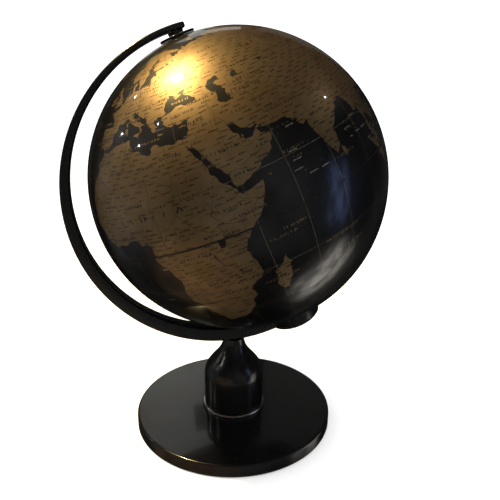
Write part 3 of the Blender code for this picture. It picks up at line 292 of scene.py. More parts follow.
# Where the print has a name: "longitude latitude letters". The names themselves are only broken strokes.
NAMES = """
26 28 5,17 27 5,2 28 7,-6 32 7,9 34 7,29 15 5,18 15 4,9 17 5,-3 18 4,-11 20 9,-15 15 6,7 9 7,-1 7 5,-6 7 9,12 5 8,
21 6 7,38 8 8,45 5 7,37 1 5,32 2 6,23 -3 9,34 -6 8,17 -12 6,26 -14 6,34 -13 6,37 -16 9,17 -22 7,23 -22 8,29 -19 8,
23 -30 9,46 -20 10,44 24 11,47 16 5,56 21 4,43 33 4,38 35 5,35 39 6,54 33 4,66 34 9,69 29 8,78 22 5,84 28 5,80 7 8,
95 22 5,101 16 8,106 19 7,104 13 7,102 4 8,114 0 6,122 13 11,102 -1 7,140 -5 5,102 36 5,104 47 8,66 48 10,60 39 9,
64 42 8,90 62 6,140 63 8,60 60 7,138 37 5,127 36 5,31 49 7,20 52 6,10 51 7,2 47 6,-4 40 5,12 43 5,-8 39 7,16 62 6,
26 64 7,9 61 6,-2 53 7,-19 65 7,25 46 7,44 41 8,134 -25 9,120 -27 4,145 -22 6,172 -43 4,-100 40 6,-105 56 6,-102 24 6,
-150 65 6,-42 72 9,-52 -10 6,-65 -35 9,-71 -30 5,-76 -10 4,-73 4 8,-66 7 9,-64 -17 7,-56 -32 7,60 -80 10,-90 -80 9
"""
CONTINENTS = "13 12.5 6,22 54.5 5,88 54 4,-98 47 6,-58 -8 6,134 -29.5 6"
OCEANS = """
70 -15.5 7,74 -21.5 6,-32 22 8,-28 17 6,-16 -20 8,20 -55 8,100 -45 6,150 20 7,-140 10 7,-120 -30 7,160 -50 7
"""
SEAS = """
64 16.2 7,64 13.6 3,88 15 6,88 12.6 6,19 34.2 8,35 43.3 5,5 57 5,57 74 6,115 13 7,-75 14 8,-90 25 6,38 21 3,
51 -6 9,55 -4 7
"""


def numbers(text):
    """The lines of points that a text of "longitude latitude" pairs holds."""
    lines = text.replace("\n", "").split(";")
    return [[tuple(float(v) for v in point.split()) for point in line.split(",")] for line in lines]


# ---------------------------------------------------------------- node trees


class Value:
    """The number that a node gives, with arithmetic that adds Math nodes."""

    def __init__(self, socket):
        self.socket = socket

    def maths(self, operation, *others):
        inputs = dict(enumerate((self, *others)))
        return Value(maker(self.socket.id_data)("Math", inputs, operation=operation).outputs[0])

    def __add__(self, other):
        return self.maths("ADD", other)

    def __sub__(self, other):
        return self.maths("SUBTRACT", other)

    def __mul__(self, other):
        return self.maths("MULTIPLY", other)

    def __truediv__(self, other):
        return self.maths("DIVIDE", other)

    def __lt__(self, other):
        return self.maths("LESS_THAN", other)

    def __gt__(self, other):
        return self.maths("GREATER_THAN", other)

    def __abs__(self):
        return self.maths("ABSOLUTE")


def put(socket, value):
    """Links the value to a node's input, or sets it there."""
    if isinstance(value, Value):
        value = value.socket
    if isinstance(value, bpy.types.NodeSocket):
        socket.id_data.links.new(value, socket)
    else:
        socket.default_value = value


def maker(tree):
    """A function that makes a node in this tree and fills its inputs."""

    def node(kind, inputs=None, **settings):
        made = tree.nodes.new("ShaderNode" + kind)
        for key, value in settings.items():
            setattr(made, key, value)
        for key, value in (inputs or {}).items():
            put(made.inputs[key], value)
        return made

    return node


def nodes_of(name):
    """A new material, the function that makes its nodes, and its shader."""
    mat = bpy.data.materials.new(name)
    mat.use_nodes = True
    return mat, maker(mat.node_tree), mat.node_tree.nodes["Principled BSDF"]


def linked(shader, **sockets):
    for name, value in sockets.items():
        put(shader.inputs[name.replace("_", " ")], value)


def ramp(node, value, low, high, to_low=0.0, to_high=1.0, smooth=False):
    kind = "SMOOTHSTEP" if smooth else "LINEAR"
    inputs = {"Value": value, "From Min": low, "From Max": high, "To Min": to_low, "To Max": to_high}
    return Value(node("MapRange", inputs, interpolation_type=kind).outputs["Result"])


def blend_colours(node, share, a, b):
    return node("Mix", {0: share, 6: a, 7: b}, data_type="RGBA").outputs[2]


def scaled(colour, factor):
    return tuple(min(1.0, c * factor) for c in colour[:3]) + (1.0,)


def noise(node, place, scale, detail=3.0, roughness=0.5, stretch=None):
    if stretch is not None:
        place = node("Mapping", {"Vector": place, "Scale": stretch}).outputs[0]
    inputs = {"Vector": place, "Scale": scale, "Detail": detail, "Roughness": roughness}
    return Value(node("TexNoise", inputs).outputs["Fac"])


def worn_edge(node, radius):
    """1 on outer edges, 0 on flat faces."""
    bevel = node("Bevel", {"Radius": radius}, samples=4).outputs[0]
    normal = node("NewGeometry").outputs["Normal"]
    facing = node("VectorMath", {0: bevel, 1: normal}, operation="DOT_PRODUCT").outputs["Value"]
    return ramp(node, facing, 0.995, 0.86)


def bumped(node, height, strength, distance):
    return node("Bump", {"Height": height, "Strength": strength, "Distance": distance}).outputs[0]


# ---------------------------------------------------------------- materials

DUST = (0.06, 0.057, 0.05, 1.0)
RUBBED_BLACK = (0.035, 0.033, 0.031, 1.0)
INK = (0.006, 0.0055, 0.005, 1.0)
SEA_DARK = (0.0006, 0.0007, 0.0008, 1.0)
SEA_LIGHT = (0.0018, 0.0018, 0.0021, 1.0)
SEA_GRID = (0.16, 0.12, 0.06, 1.0)
SEA_NAMES = (0.13, 0.115, 0.085, 1.0)
SEA_SPECKS = (0.3, 0.29, 0.27, 1.0)
GOLD_LIGHT = (0.385, 0.275, 0.145, 1.0)
GOLD_DARK = (0.215, 0.148, 0.076, 1.0)
GOLD_RIDGE = (0.52, 0.40, 0.23, 1.0)
GOLD_BROWN = (0.225, 0.132, 0.052, 1.0)

# The print: its grid, the dashed tropics and polar circles, and the rows of town names, in radians.
MERIDIAN_OF_X = 145.2  # degrees east that the object's +X points to at rest
GRID_STEP = math.radians(15)
GRID_HALF = 0.00011
CIRCLES = (math.radians(23.44), math.radians(66.56))
EQUATOR_BAND = math.radians(0.35)  # no grid line here: the joint of the two halves is the equator
NAME_ROW, NAME_WORD, NAME_LETTER = 0.0235, 0.078, 0.0066
NAME_SHIFT = 0.731  # from one row to the next


def moulded_plastic(name, colour, roughness, coat):
    """Black gloss moulding: fine flow unevenness, faint wiping marks, dust that dulls it and rubbed edges."""
    mat, node, shader = nodes_of(name)
    place = node("TexCoord").outputs["Object"]
    cloud = noise(node, place, 38.0, 4.0)
    dust = ramp(node, noise(node, place, 1500.0, 2.0, 0.6), 0.66, 0.76)
    wipes = ramp(node, noise(node, place, 320.0, 2.0, 0.5, (1.0, 1.0, 0.06)), 0.35, 0.75)
    edge = worn_edge(node, 0.0006) * ramp(node, noise(node, place, 260.0, 3.0), 0.38, 0.66)
    shade = blend_colours(node, cloud, scaled(colour, 0.62), colour)
    shade = blend_colours(node, dust * 0.16, shade, DUST)
    shade = blend_colours(node, edge * 0.5, shade, RUBBED_BLACK)
    rough = ramp(node, cloud, 0.3, 0.7, roughness * 0.8, roughness * 1.25)
    rough = rough + wipes * 0.035 + edge * 0.16 + dust * 0.12
    grain = noise(node, place, 900.0, 2.0) * 0.35 + noise(node, place, 90.0, 2.0)
    linked(shader, Base_Color=shade, Roughness=rough, Normal=bumped(node, grain, 0.035, 0.0004))
    linked(shader, Coat_Weight=coat, Coat_Roughness=0.06, IOR=1.5)
    return mat


def metal(name, light, dark, roughness, scratch=(1.0, 1.0, 0.05), tarnish=0.5):
    """Metal with stains, fine scratches along one way and brighter edges."""
    mat, node, shader = nodes_of(name)
    place = node("TexCoord").outputs["Object"]
    share = ramp(node, noise(node, place, 170.0, 4.0, 0.6), 0.4, 0.72) * tarnish
    lines = noise(node, place, 1400.0, 2.0, 0.6, scratch)
    shade = blend_colours(node, share, light, dark)
    shade = blend_colours(node, worn_edge(node, 0.0004) * 0.35, shade, scaled(light, 1.25))
    rough = ramp(node, lines, 0.3, 0.7, roughness * 0.75, roughness * 1.3) + share * 0.15
    linked(shader, Base_Color=shade, Metallic=1.0, Roughness=rough, Normal=bumped(node, lines, 0.06, 0.0002))
    return mat


def felt_material():
    mat, node, shader = nodes_of("felt_pile")
    place = node("TexCoord").outputs["Object"]
    fibre = noise(node, place, 2600.0, 4.0, 0.7, (1.0, 0.35, 1.0))
    cross = noise(node, place, 2300.0, 4.0, 0.7, (0.35, 1.0, 1.0))
    pile = fibre.maths("MAXIMUM", cross)
    lint = ramp(node, noise(node, place, 700.0, 2.0), 0.7, 0.78)
    shade = blend_colours(node, pile, (0.006, 0.006, 0.007, 1.0), (0.035, 0.034, 0.036, 1.0))
    shade = blend_colours(node, lint * 0.35, shade, (0.16, 0.155, 0.15, 1.0))
    linked(shader, Base_Color=shade, Roughness=0.95, Normal=bumped(node, pile, 0.7, 0.0006))
    linked(shader, Sheen_Weight=0.35, Sheen_Roughness=0.5)
    return mat


def board_material(name, light, dark):
    """Pressed board, flecked with fibres."""
    mat, node, shader = nodes_of(name)
    place = node("TexCoord").outputs["Object"]
    fleck = noise(node, place, 1700.0, 3.0, 0.7, (1.0, 0.3, 1.0))
    cloud = noise(node, place, 60.0, 3.0)
    shade = blend_colours(node, (fleck + cloud) * 0.5, dark, light)
    rough = ramp(node, fleck, 0.3, 0.7, 0.78, 0.92)
    linked(shader, Base_Color=shade, Roughness=rough, Normal=bumped(node, fleck, 0.35, 0.0004))
    return mat


def nylon_material():
    mat, node, shader = nodes_of("nylon_white")
    place = node("TexCoord").outputs["Object"]
    cloud = noise(node, place, 400.0, 3.0)
    shade = blend_colours(node, cloud, (0.66, 0.62, 0.52, 1.0), (0.80, 0.78, 0.71, 1.0))
    linked(shader, Base_Color=shade, Roughness=ramp(node, cloud, 0.3, 0.7, 0.35, 0.5))
    linked(shader, Subsurface_Weight=0.1, Subsurface_Scale=0.001)
    linked(shader, Normal=bumped(node, noise(node, place, 1500.0), 0.1, 0.0002))
    return mat


def on_ball(node):
    """The place with the pole axis as Z, then the distance from that axis, the latitude and the longitude from +X."""
    place = node("TexCoord").outputs["Object"]
    place = node("VectorRotate", {"Vector": place, "Angle": TILT}, rotation_type="Y_AXIS").outputs[0]
    x, y, z = (Value(part) for part in node("SeparateXYZ", {0: place}).outputs)
    out = (x * x + y * y).maths("SQRT")
    return place, out, z.maths("ARCTAN2", out), y.maths("ARCTAN2", x)


def map_lines(node, out, latitude, longitude):
    """The grid of the print: parallels and meridians every 15 degrees, and dashes on the tropics and circles."""
    east = longitude + math.radians(MERIDIAN_OF_X)

    def line(distance):
        return ramp(node, distance, GRID_HALF * 0.7, GRID_HALF * 1.5, 1.0, 0.0, smooth=True)

    def from_grid(value):
        return abs(value.maths("WRAP", GRID_STEP / 2, -GRID_STEP / 2))

    grid = line((from_grid(latitude) * RADIUS).maths("MINIMUM", from_grid(east) * out))
    height = abs(latitude)
    tropic, polar = (line(abs(height - circle) * RADIUS) for circle in CIRCLES)
    dash = ramp(node, (east * 180.0).maths("SINE"), 0.0, 0.25)
    dashes = tropic.maths("MAXIMUM", polar) * dash
    return grid.maths("MAXIMUM", dashes) * (height > EQUATOR_BAND)


def place_names(node, place, latitude, longitude, fewer):
    """Rows of tiny broken strokes along the parallels, in the size and spacing of printed town names."""
    level = latitude / NAME_ROW
    row = level.maths("FLOOR")
    shrink = ((row + 0.5) * NAME_ROW).maths("COSINE")
    along = longitude * shrink + row * NAME_SHIFT
    word, letter = along / NAME_WORD, along / NAME_LETTER

    def chances(x):
        """Four random numbers for each cell of the row."""
        cell = node("CombineXYZ", {0: x.maths("FLOOR"), 1: row}).outputs[0]
        drawn = node("TexWhiteNoise", {"Vector": cell}, noise_dimensions="2D").outputs
        parts = node("SeparateXYZ", {0: drawn["Color"]}).outputs
        return [Value(part) for part in (*parts, drawn["Value"])]

    crowd, word_shift, line_shift, length = chances(word)
    stem_shift, width, tall, _ = chances(letter)
    # In each cell, the stroke's middle and half width vary, as shares of the cell.
    printed = crowd + (noise(node, place, 16.0, 1.0) - 0.5) * 0.9 > fewer
    in_word = abs(word.maths("FRACT") - (word_shift * 0.24 + 0.38)) < length * 0.20 + 0.14
    in_stem = abs(letter.maths("FRACT") - (stem_shift * 0.25 + 0.35)) < width * 0.16 + 0.20
    in_height = abs(level.maths("FRACT") - (line_shift * 0.3 + 0.35)) < tall * 0.08 + 0.11
    return printed * in_word * (in_stem * in_height)


def varnish(node, shader, place):
    """The clear coat of the print: slight waviness, with fine orange peel."""
    skin = noise(node, place, 420.0, 2.0) * 0.10 + noise(node, place, 34.0, 1.0)
    linked(shader, Coat_Weight=1.0, Coat_Roughness=0.045, Coat_Normal=bumped(node, skin, 0.05, 0.0006))


def gold_material():
    """Land: metallic bronze ink under varnish, unevenly laid, with its relief in darker and lighter patches."""
    mat, node, shader = nodes_of("map_gold")
    place, out, latitude, longitude = on_ball(node)
    relief = noise(node, place, 46.0, 6.0, 0.62)
    ridged = {"Vector": place, "Scale": 70.0, "Detail": 5.0, "Roughness": 0.6}
    ridges = node("TexNoise", ridged, noise_type="RIDGED_MULTIFRACTAL").outputs["Fac"]
    grain = noise(node, place, 5200.0, 2.0, 0.7)
    patch = noise(node, place, 14.0, 2.0)
    shade = blend_colours(node, ramp(node, relief, 0.32, 0.68), GOLD_DARK, GOLD_LIGHT)
    shade = blend_colours(node, ramp(node, ridges, 0.9, 1.9) * 0.28, shade, GOLD_RIDGE)
    shade = blend_colours(node, ramp(node, patch, 0.35, 0.7, 0.0, 0.45), shade, GOLD_BROWN)
    shade = blend_colours(node, map_lines(node, out, latitude, longitude) * 0.35, shade, INK)
    shade = blend_colours(node, place_names(node, place, latitude, longitude, 0.30), shade, INK)
    rough = ramp(node, relief, 0.3, 0.7, 0.44, 0.36) + ramp(node, grain, 0.3, 0.7, -0.06, 0.08)
    linked(shader, Base_Color=shade, Metallic=0.93, Roughness=rough, Normal=bumped(node, grain, 0.10, 0.0002))
    varnish(node, shader, place)
    return mat


def sea_material():
    """Sea: black ink under the same varnish, with the grid in thin bronze and a little dust."""
    mat, node, shader = nodes_of("map_black")
    place, out, latitude, longitude = on_ball(node)
    cloud = noise(node, place, 22.0, 3.0)
    speck = ramp(node, noise(node, place, 1900.0, 1.0), 0.74, 0.8)
    shade = blend_colours(node, cloud, SEA_DARK, SEA_LIGHT)
    shade = blend_colours(node, map_lines(node, out, latitude, longitude) * 0.22, shade, SEA_GRID)
    shade = blend_colours(node, place_names(node, place, latitude, longitude, 0.98) * 0.5, shade, SEA_NAMES)
    shade = blend_colours(node, speck * 0.12, shade, SEA_SPECKS)
    rough = ramp(node, cloud, 0.3, 0.7, 0.30, 0.38) + speck * 0.2
    linked(shader, Base_Color=shade, Roughness=rough, Normal=bumped(node, cloud, 0.02, 0.0004))
    varnish(node, shader, place)
    return mat


AROUND, EVEN = (1.0, 1.0, 10.0), (1.0, 1.0, 1.0)  # ways that scratches run
BLACK = moulded_plastic("black_gloss", (0.0028, 0.0026, 0.0026, 1.0), 0.2, 0.6)
ARM_BLACK = moulded_plastic("black_gloss_arm", (0.0027, 0.0028, 0.0026, 1.0), 0.24, 0.5)
GOLD = gold_material()
SEA = sea_material()
BOARD = board_material("pressed_board", (0.075, 0.062, 0.048, 1.0), (0.03, 0.025, 0.02, 1.0))
TRIM = metal("bright_ring", (0.72, 0.71, 0.69, 1.0), (0.40, 0.39, 0.37, 1.0), 0.2, (1.0, 1.0, 12.0), 0.3)
STEEL = metal("zinc_plate", (0.60, 0.61, 0.62, 1.0), (0.36, 0.35, 0.33, 1.0), 0.32)
BRASS = metal("brass_turned", (0.78, 0.58, 0.26, 1.0), (0.42, 0.27, 0.10, 1.0), 0.26, AROUND, 0.6)
WEIGHT = metal("weight_steel", (0.30, 0.30, 0.31, 1.0), (0.12, 0.085, 0.06, 1.0), 0.5, EVEN, 0.9)
NYLON = nylon_material()
FELT = felt_material()
MARKS = board_material("dial_print", (0.74, 0.72, 0.66, 1.0), (0.60, 0.58, 0.52, 1.0))

# ---------------------------------------------------------------- shapes

SHARP = 32.0  # degrees: edges that turn more than this stay sharp
HERE = Matrix()


def new_object(name, mesh, material, place, angle=SHARP):
    obj = bpy.data.objects.new(name, mesh)
    bpy.context.scene.collection.objects.link(obj)
    obj.matrix_world = place
    if material is not None:
        mesh.materials.append(material)
    if angle:
        mesh.shade_smooth()
        mesh.set_sharp_from_angle(angle=math.radians(angle))
    return obj


def mesh_from(name, points, faces):
    mesh = bpy.data.meshes.new(name)
    mesh.from_pydata(points, [], faces)
    shape = bmesh.new()
    shape.from_mesh(mesh)
    bmesh.ops.recalc_face_normals(shape, faces=shape.faces)
    shape.to_mesh(mesh)
    shape.free()
    return mesh


def filleted(corners, steps=6):
    """An outline of (radius, height) points from corners of (radius, height, fillet)."""
    made = []
    count = len(corners)
    for i, (x, y, fillet) in enumerate(corners):
        here = Vector((x, y))
        if not fillet:
            made.append((x, y))
            continue
        before = (Vector(corners[i - 1][:2]) - here).normalized()
        after = (Vector(corners[(i + 1) % count][:2]) - here).normalized()
        half = before.angle(after) / 2
        reach = fillet / math.tan(half)
        middle = here + (before + after).normalized() * (fillet / math.sin(half))
        start = here + before * reach - middle
        end = here + after * reach - middle
        turn = start.angle_signed(end)
        for k in range(steps + 1):
            spoke = start.copy()
            spoke.rotate(Matrix.Rotation(-turn * k / steps, 2))
            made.append(tuple(middle + spoke))
    return made


def lathe(name, outline, segments):
    """A closed solid turned about Z. The outline is closed, or starts and ends on the axis."""
    on_axis = [abs(r) < 1e-9 for r, _ in outline]
    points, rows = [], []
    for (r, h), centre in zip(outline, on_axis):
        if centre:
            rows.append([len(points)] * segments)
            points.append((0.0, 0.0, h))
        else:
            rows.append(list(range(len(points), len(points) + segments)))
            for k in range(segments):
                angle = 2 * math.pi * k / segments
                points.append((r * math.cos(angle), r * math.sin(angle), h))
    last = len(rows) if not on_axis[0] else len(rows) - 1
    faces = []
    for i in range(last):
        a, b = rows[i], rows[(i + 1) % len(rows)]
        for k in range(segments):
            n = (k + 1) % segments
            corners = [a[k], a[n], b[n], b[k]]
            face = [v for j, v in enumerate(corners) if v != corners[j - 1]]
            if len(face) > 2:
                faces.append(face)
    return mesh_from(name, points, faces)


def turned(name, outline, material, place, segments=96):
    return new_object(name, lathe(name, outline, segments), material, place)


def cylinder_outline(radius, bottom, top):
    return [(0.0, top), (radius, top), (radius, bottom), (0.0, bottom)]


def as_mesh(obj):
    """A mesh of the object as its modifiers, or its text, leave it."""
    bpy.context.view_layer.update()
    return bpy.data.meshes.new_from_object(obj.evaluated_get(bpy.context.evaluated_depsgraph_get()))


def cut_and_join(obj, tools):
    """Cuts the object with, or joins to it, each (mesh, place, operation)."""
    helpers = []
    for tool, place, operation in tools:
        helper = new_object("tool", tool, None, place, 0)
        step = obj.modifiers.new("step", "BOOLEAN")
        step.operation = operation
        step.solver = "MANIFOLD"
        step.object = helper
        helpers.append(helper)
    mesh = as_mesh(obj)
    obj.modifiers.clear()
    obj.data = mesh
    for helper in helpers:
        bpy.data.objects.remove(helper, do_unlink=True)
    mesh.shade_smooth()
    mesh.set_sharp_from_angle(angle=math.radians(SHARP))
    return obj


def finish_piece(obj, body, slot, *stands_for):
    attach(obj, body)
    if stands_for:
        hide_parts(*stands_for)


def bezier(points, steps):
    """Points of a cubic curve, given its two ends and the two handles between them."""
    a, b, c, d = (Vector(p) for p in points)
    for i in range(steps + 1):
        t = i / steps
        s = 1 - t
        point = s**3 * a + 3 * s * s * t * b + 3 * s * t * t * c + t**3 * d
        yield point.x, point.y


# ---------------------------------------------------------------- the globe's print

# All in degrees. Colatitudes are counted from the pole of the half.
BORDER_HALF = math.degrees(0.00008 / RADIUS)
EDGE_COLAT = 90 - math.degrees(math.asin(GAP / 2 / RADIUS))
HOLE_COLAT = math.degrees(math.asin(POLE_HOLE / RADIUS))
EQUATOR_HALF = 0.3  # the black line along the equator
OUTER_STEP, INNER_STEP = 2.6, 7.0  # between the points that fill the two faces of the shell
COAST_SHARES = (0.14, 0.13, 0.11)  # how far each round of new coast points strays, as a share of the length
ROUGHENED = (0.6, 20)  # only stretches between these lengths get a new point
NEAR_EQUATOR = 0.01  # metres: rim points closer than this belong to the joint, and others to the pole hole


def rough_coast(line, draws):
    """Adds smaller bays and capes between the written points of a coast."""
    for share in COAST_SHARES:
        longer = []
        for (x0, y0), (x1, y1) in zip(line, line[1:] + line[:1]):
            longer.append((x0, y0))
            flat = math.cos(math.radians((y0 + y1) / 2))
            length = math.hypot((x1 - x0) * flat, y1 - y0)
            off = draws.uniform(-share, share)
            if ROUGHENED[0] < length < ROUGHENED[1]:
                nx, ny = -(y1 - y0), (x1 - x0) * flat
                longer.append(((x0 + x1) / 2 + nx * off / max(flat, 0.2), (y0 + y1) / 2 + ny * off))
        line = longer
    return line


def strip(a, b, half):
    """A thin quad in degrees round the line from a to b."""
    flat = max(0.15, math.cos(math.radians((a[1] + b[1]) / 2)))
    dx, dy = (b[0] - a[0]) * flat, b[1] - a[1]
    length = math.hypot(dx, dy) or 1.0
    nx, ny = -dy / length * half / flat, dx / length * half
    return [(x + side * nx, y + side * ny) for (x, y), side in ((a, 1), (b, 1), (b, -1), (a, -1))]


def name_strokes(text, draws, pitch, height):
    """Strokes that stand for a printed name, too broken to read."""
    quads = []
    for item in text.replace("\n", "").split(","):
        lon, lat, letters = (float(v) for v in item.split())
        flat = math.cos(math.radians(lat))
        if flat < 0.3:
            continue
        for k in range(int(letters)):
            x = lon + (k - (letters - 1) / 2) * pitch / flat
            for side in (-0.2, 0.2)[: draws.choice((1, 2, 2))]:
                low = lat - height * draws.uniform(0.25, 0.5)
                high = lat + height * draws.uniform(0.25, 0.5)
                left = x + (side + draws.uniform(-0.06, 0.06)) * pitch / flat
                quads.append(strip((left, low), (left + draws.uniform(-0.3, 0.3) * pitch, high), height * 0.115))
    return quads


def flat_point(lon, lat, side):
    """A place in the flat polar map of a half: the colatitude is the distance from the pole."""
    colat = 90 - side * lat
    angle = math.radians(lon)
    return colat * math.cos(angle), colat * math.sin(angle)


def inside(points, ring):
    """Which points lie in the closed ring, by the even-odd rule."""
    ring = np.array(ring)
    low, high = ring.min(0), ring.max(0)
    hit = np.zeros(len(points), bool)
    near = np.where(((points >= low) & (points <= high)).all(1))[0]
    if len(near) == 0:
        return hit
    x, y = points[near, 0], points[near, 1]
    found = np.zeros(len(near), bool)
    for (x0, y0), (x1, y1) in zip(ring, np.roll(ring, -1, 0)):
        if y0 == y1:
            continue
        crosses = (y0 > y) != (y1 > y)
        found ^= crosses & (x < (x1 - x0) * (y - y0) / (y1 - y0) + x0)
    hit[near] = found
    return hit


def triangulate(rings, step, draws):
    """Triangles of a half in the flat polar map, cut along the rings, between the pole hole and the equator."""
    points, edges = [], []
    for ring in rings:
        first = len(points)
        points.extend(Vector(p) for p in ring)
        edges.extend((first + k, first + (k + 1) % len(ring)) for k in range(len(ring)))
    colat = HOLE_COLAT + step * 0.8
    while colat < EDGE_COLAT - step * 0.4:
        count = max(12, round(360 * math.sin(math.radians(colat)) / step))
        shift = draws.random()
        for k in range(count):
            angle = 2 * math.pi * (k + shift) / count
            points.append(Vector((colat * math.cos(angle), colat * math.sin(angle))))
        colat += step * 0.866
    verts, _, faces, _, _, _ = delaunay_2d_cdt(points, edges, [], 0, 1e-5)
    flat = np.array([tuple(v) for v in verts])
    faces = np.array([f for f in faces if len(f) == 3])
    middle = flat[faces].mean(1)
    reach = np.hypot(middle[:, 0], middle[:, 1])
    kept = (reach < EDGE_COLAT - 0.001) & (reach > HOLE_COLAT * 0.998)
    return flat, faces[kept], middle[kept]


def on_globe(x, y, side, radius):
    """The point of the ball at this place of the flat map, snapped to the joint and to the pole hole."""
    colat = math.hypot(x, y)
    if colat > EDGE_COLAT - 0.06:
        colat = EDGE_COLAT
    if colat < HOLE_COLAT + 0.03:
        colat = HOLE_COLAT
    lon = math.atan2(y, x) - math.radians(MERIDIAN_OF_X)
    a = math.radians(colat)
    return Vector((math.sin(a) * math.cos(lon), math.sin(a) * math.sin(lon), side * math.cos(a))) * radius


def rims(faces):
    """The edges that only one face has, each as that face turns."""
    seen = {}
    for face in faces:
        for a, b in zip(face, (face[1], face[2], face[0])):
            seen[(a, b)] = True
    return [(a, b) for (a, b) in seen if (b, a) not in seen]


def printed_face(side, draws):
    """The outer face of a half: its points, its triangles, and which of them are gold."""
    coasts = [rough_coast(line, draws) for line in numbers(LANDS)]
    lakes = [rough_coast(line, draws) for line in numbers(LAKES)]
    borders = [strip(a, b, BORDER_HALF) for line in numbers(BORDERS) for a, b in zip(line, line[1:])]
    strokes = name_strokes(NAMES, draws, 1.25, 1.05) + name_strokes(OCEANS, draws, 2.0, 1.35)
    strokes += name_strokes(SEAS, draws, 1.1, 0.95) + name_strokes(CONTINENTS, draws, 4.4, 2.0)

    def wanted(ring):
        return any(p[1] * side > -2.0 for p in ring) and not all(p[1] * side < -55 for p in ring)

    def circle(latitude, count, shift=0.0):
        step = 360 / count
        return [flat_point(k * step + shift, side * latitude, side) for k in range(count)]

    groups = []
    for rings in (coasts, lakes, borders, strokes):
        groups.append([[flat_point(*p, side) for p in ring] for ring in rings if wanted(ring)])
    circles = [circle(90 - EDGE_COLAT, 180), circle(90 - HOLE_COLAT, 36), circle(EQUATOR_HALF, 180, 1.0)]
    flat, faces, middle = triangulate(sum(groups, []) + circles, OUTER_STEP, draws)

    def covered(rings):
        found = np.zeros(len(middle), bool)
        for ring in rings:
            found |= inside(middle, ring)
        return found

    land, lake, border, stroke = (covered(rings) for rings in groups)
    gold = land & ~lake & ~border
    gold ^= stroke
    gold &= ~(np.hypot(middle[:, 0], middle[:, 1]) > 90 - EQUATOR_HALF)
    used = sorted(set(faces.ravel().tolist()))
    number = {old: new for new, old in enumerate(used)}
    points = [on_globe(*flat[old], side, RADIUS) for old in used]
    return points, [tuple(number[v] for v in face) for face in faces.tolist()], gold


def lip_points(points, rim, side):
    """Adds the inner point of each rim point, and gives them as a table from outer to inner."""
    inner_of = {}
    within = RADIUS - WALL
    for v in sorted({v for edge in rim for v in edge}):
        inner_of[v] = len(points)
        p = points[v]
        if abs(p.z) < NEAR_EQUATOR:
            level = Vector((p.x, p.y)).normalized() * math.sqrt(within**2 - p.z**2)
            points.append(Vector((level.x, level.y, p.z)))
        else:
            points.append(Vector((p.x, p.y, side * math.sqrt(within**2 - p.x**2 - p.y**2))))
    return inner_of


def inner_face(points, inner_of, side, draws):
    """Adds the inside of the shell, which is coarser and meets the lips point for point. Gives its triangles."""
    known = {}
    circles = []
    for at_equator, colat in ((True, EDGE_COLAT), (False, HOLE_COLAT)):
        around = {v: math.atan2(points[v].y, points[v].x) for v in inner_of}
        ring = [v for v in inner_of if (abs(points[v].z) < NEAR_EQUATOR) == at_equator]
        ring.sort(key=around.get)
        circles.append([])
        for v in ring:
            lon = around[v] + math.radians(MERIDIAN_OF_X)
            place = (colat * math.cos(lon), colat * math.sin(lon))
            circles[-1].append(place)
            known[tuple(round(c, 3) for c in place)] = inner_of[v]
    flat, faces, _ = triangulate(circles, INNER_STEP, draws)
    index = []
    for x, y in flat:
        key = (round(float(x), 3), round(float(y), 3))
        if key in known:
            index.append(known[key])
        else:
            index.append(len(points))
            points.append(on_globe(x, y, side, RADIUS - WALL))
    return [tuple(index[v] for v in reversed(face)) for face in faces.tolist()]


def half_globe(name, side, stands_for):
    """One hemisphere: a closed shell whose outer face is divided along coasts, borders and strokes."""
    draws = random.Random(7)
    points, outer, gold = printed_face(side, draws)
    rim = rims(outer)
    inner_of = lip_points(points, rim, side)
    lips = [(b, a, inner_of[a], inner_of[b]) for a, b in rim]
    inner = inner_face(points, inner_of, side, draws)
    tilt = Matrix.Rotation(-TILT, 3, "Y")
    points = [tilt @ point for point in points]
    mesh = bpy.data.meshes.new(name)
    mesh.from_pydata([tuple(point) for point in points], [], outer + lips + inner)
    mesh.update()
    for material in (GOLD, SEA, BOARD):
        mesh.materials.append(material)
    looks = [0 if g else 1 for g in gold] + [2] * (len(lips) + len(inner))
    mesh.polygons.foreach_set("material_index", looks)
    if side < 0:
        mesh.flip_normals()
    mesh.shade_smooth()
    normals = []
    for face in mesh.polygons:
        for v in face.vertices:
            radial = points[v].normalized()
            if face.index < len(outer):
                normals.append(radial)
            elif face.index < len(outer) + len(lips):
                normals.append(face.normal.copy())
            else:
                normals.append(-radial)
    mesh.normals_split_custom_set(normals)
    obj = new_object(name, mesh, None, Matrix.Translation(CENTRE), 0)
    finish_piece(obj, "globe", "printed_map", stands_for)


half_globe("north_print", 1, "north_hemisphere")
half_globe("south_print", -1, "south_hemisphere")

# ---------------------------------------------------------------- the arm


ARM_REACH = 0.11  # from the globe's centre, where its end roundings are measured
END_ROUNDING = 0.0011
# Where the arm's cutters start and end, clear of what they don't cut.
CUT_TOP, CUT_END = 0.098, 0.120
SOUTH_HOLE_END = 0.110
RECESS_CUT_END = 0.118
BOLT_CUT_START = 0.060


def on_arc(arc, angle):
    """How far the arc lies from the globe's centre at this angle."""
    radius, centre = arc
    ray = Vector((math.cos(angle), math.sin(angle)))
    along = ray.dot(centre)
    return along + math.sqrt(along**2 - centre.length_squared + radius**2)


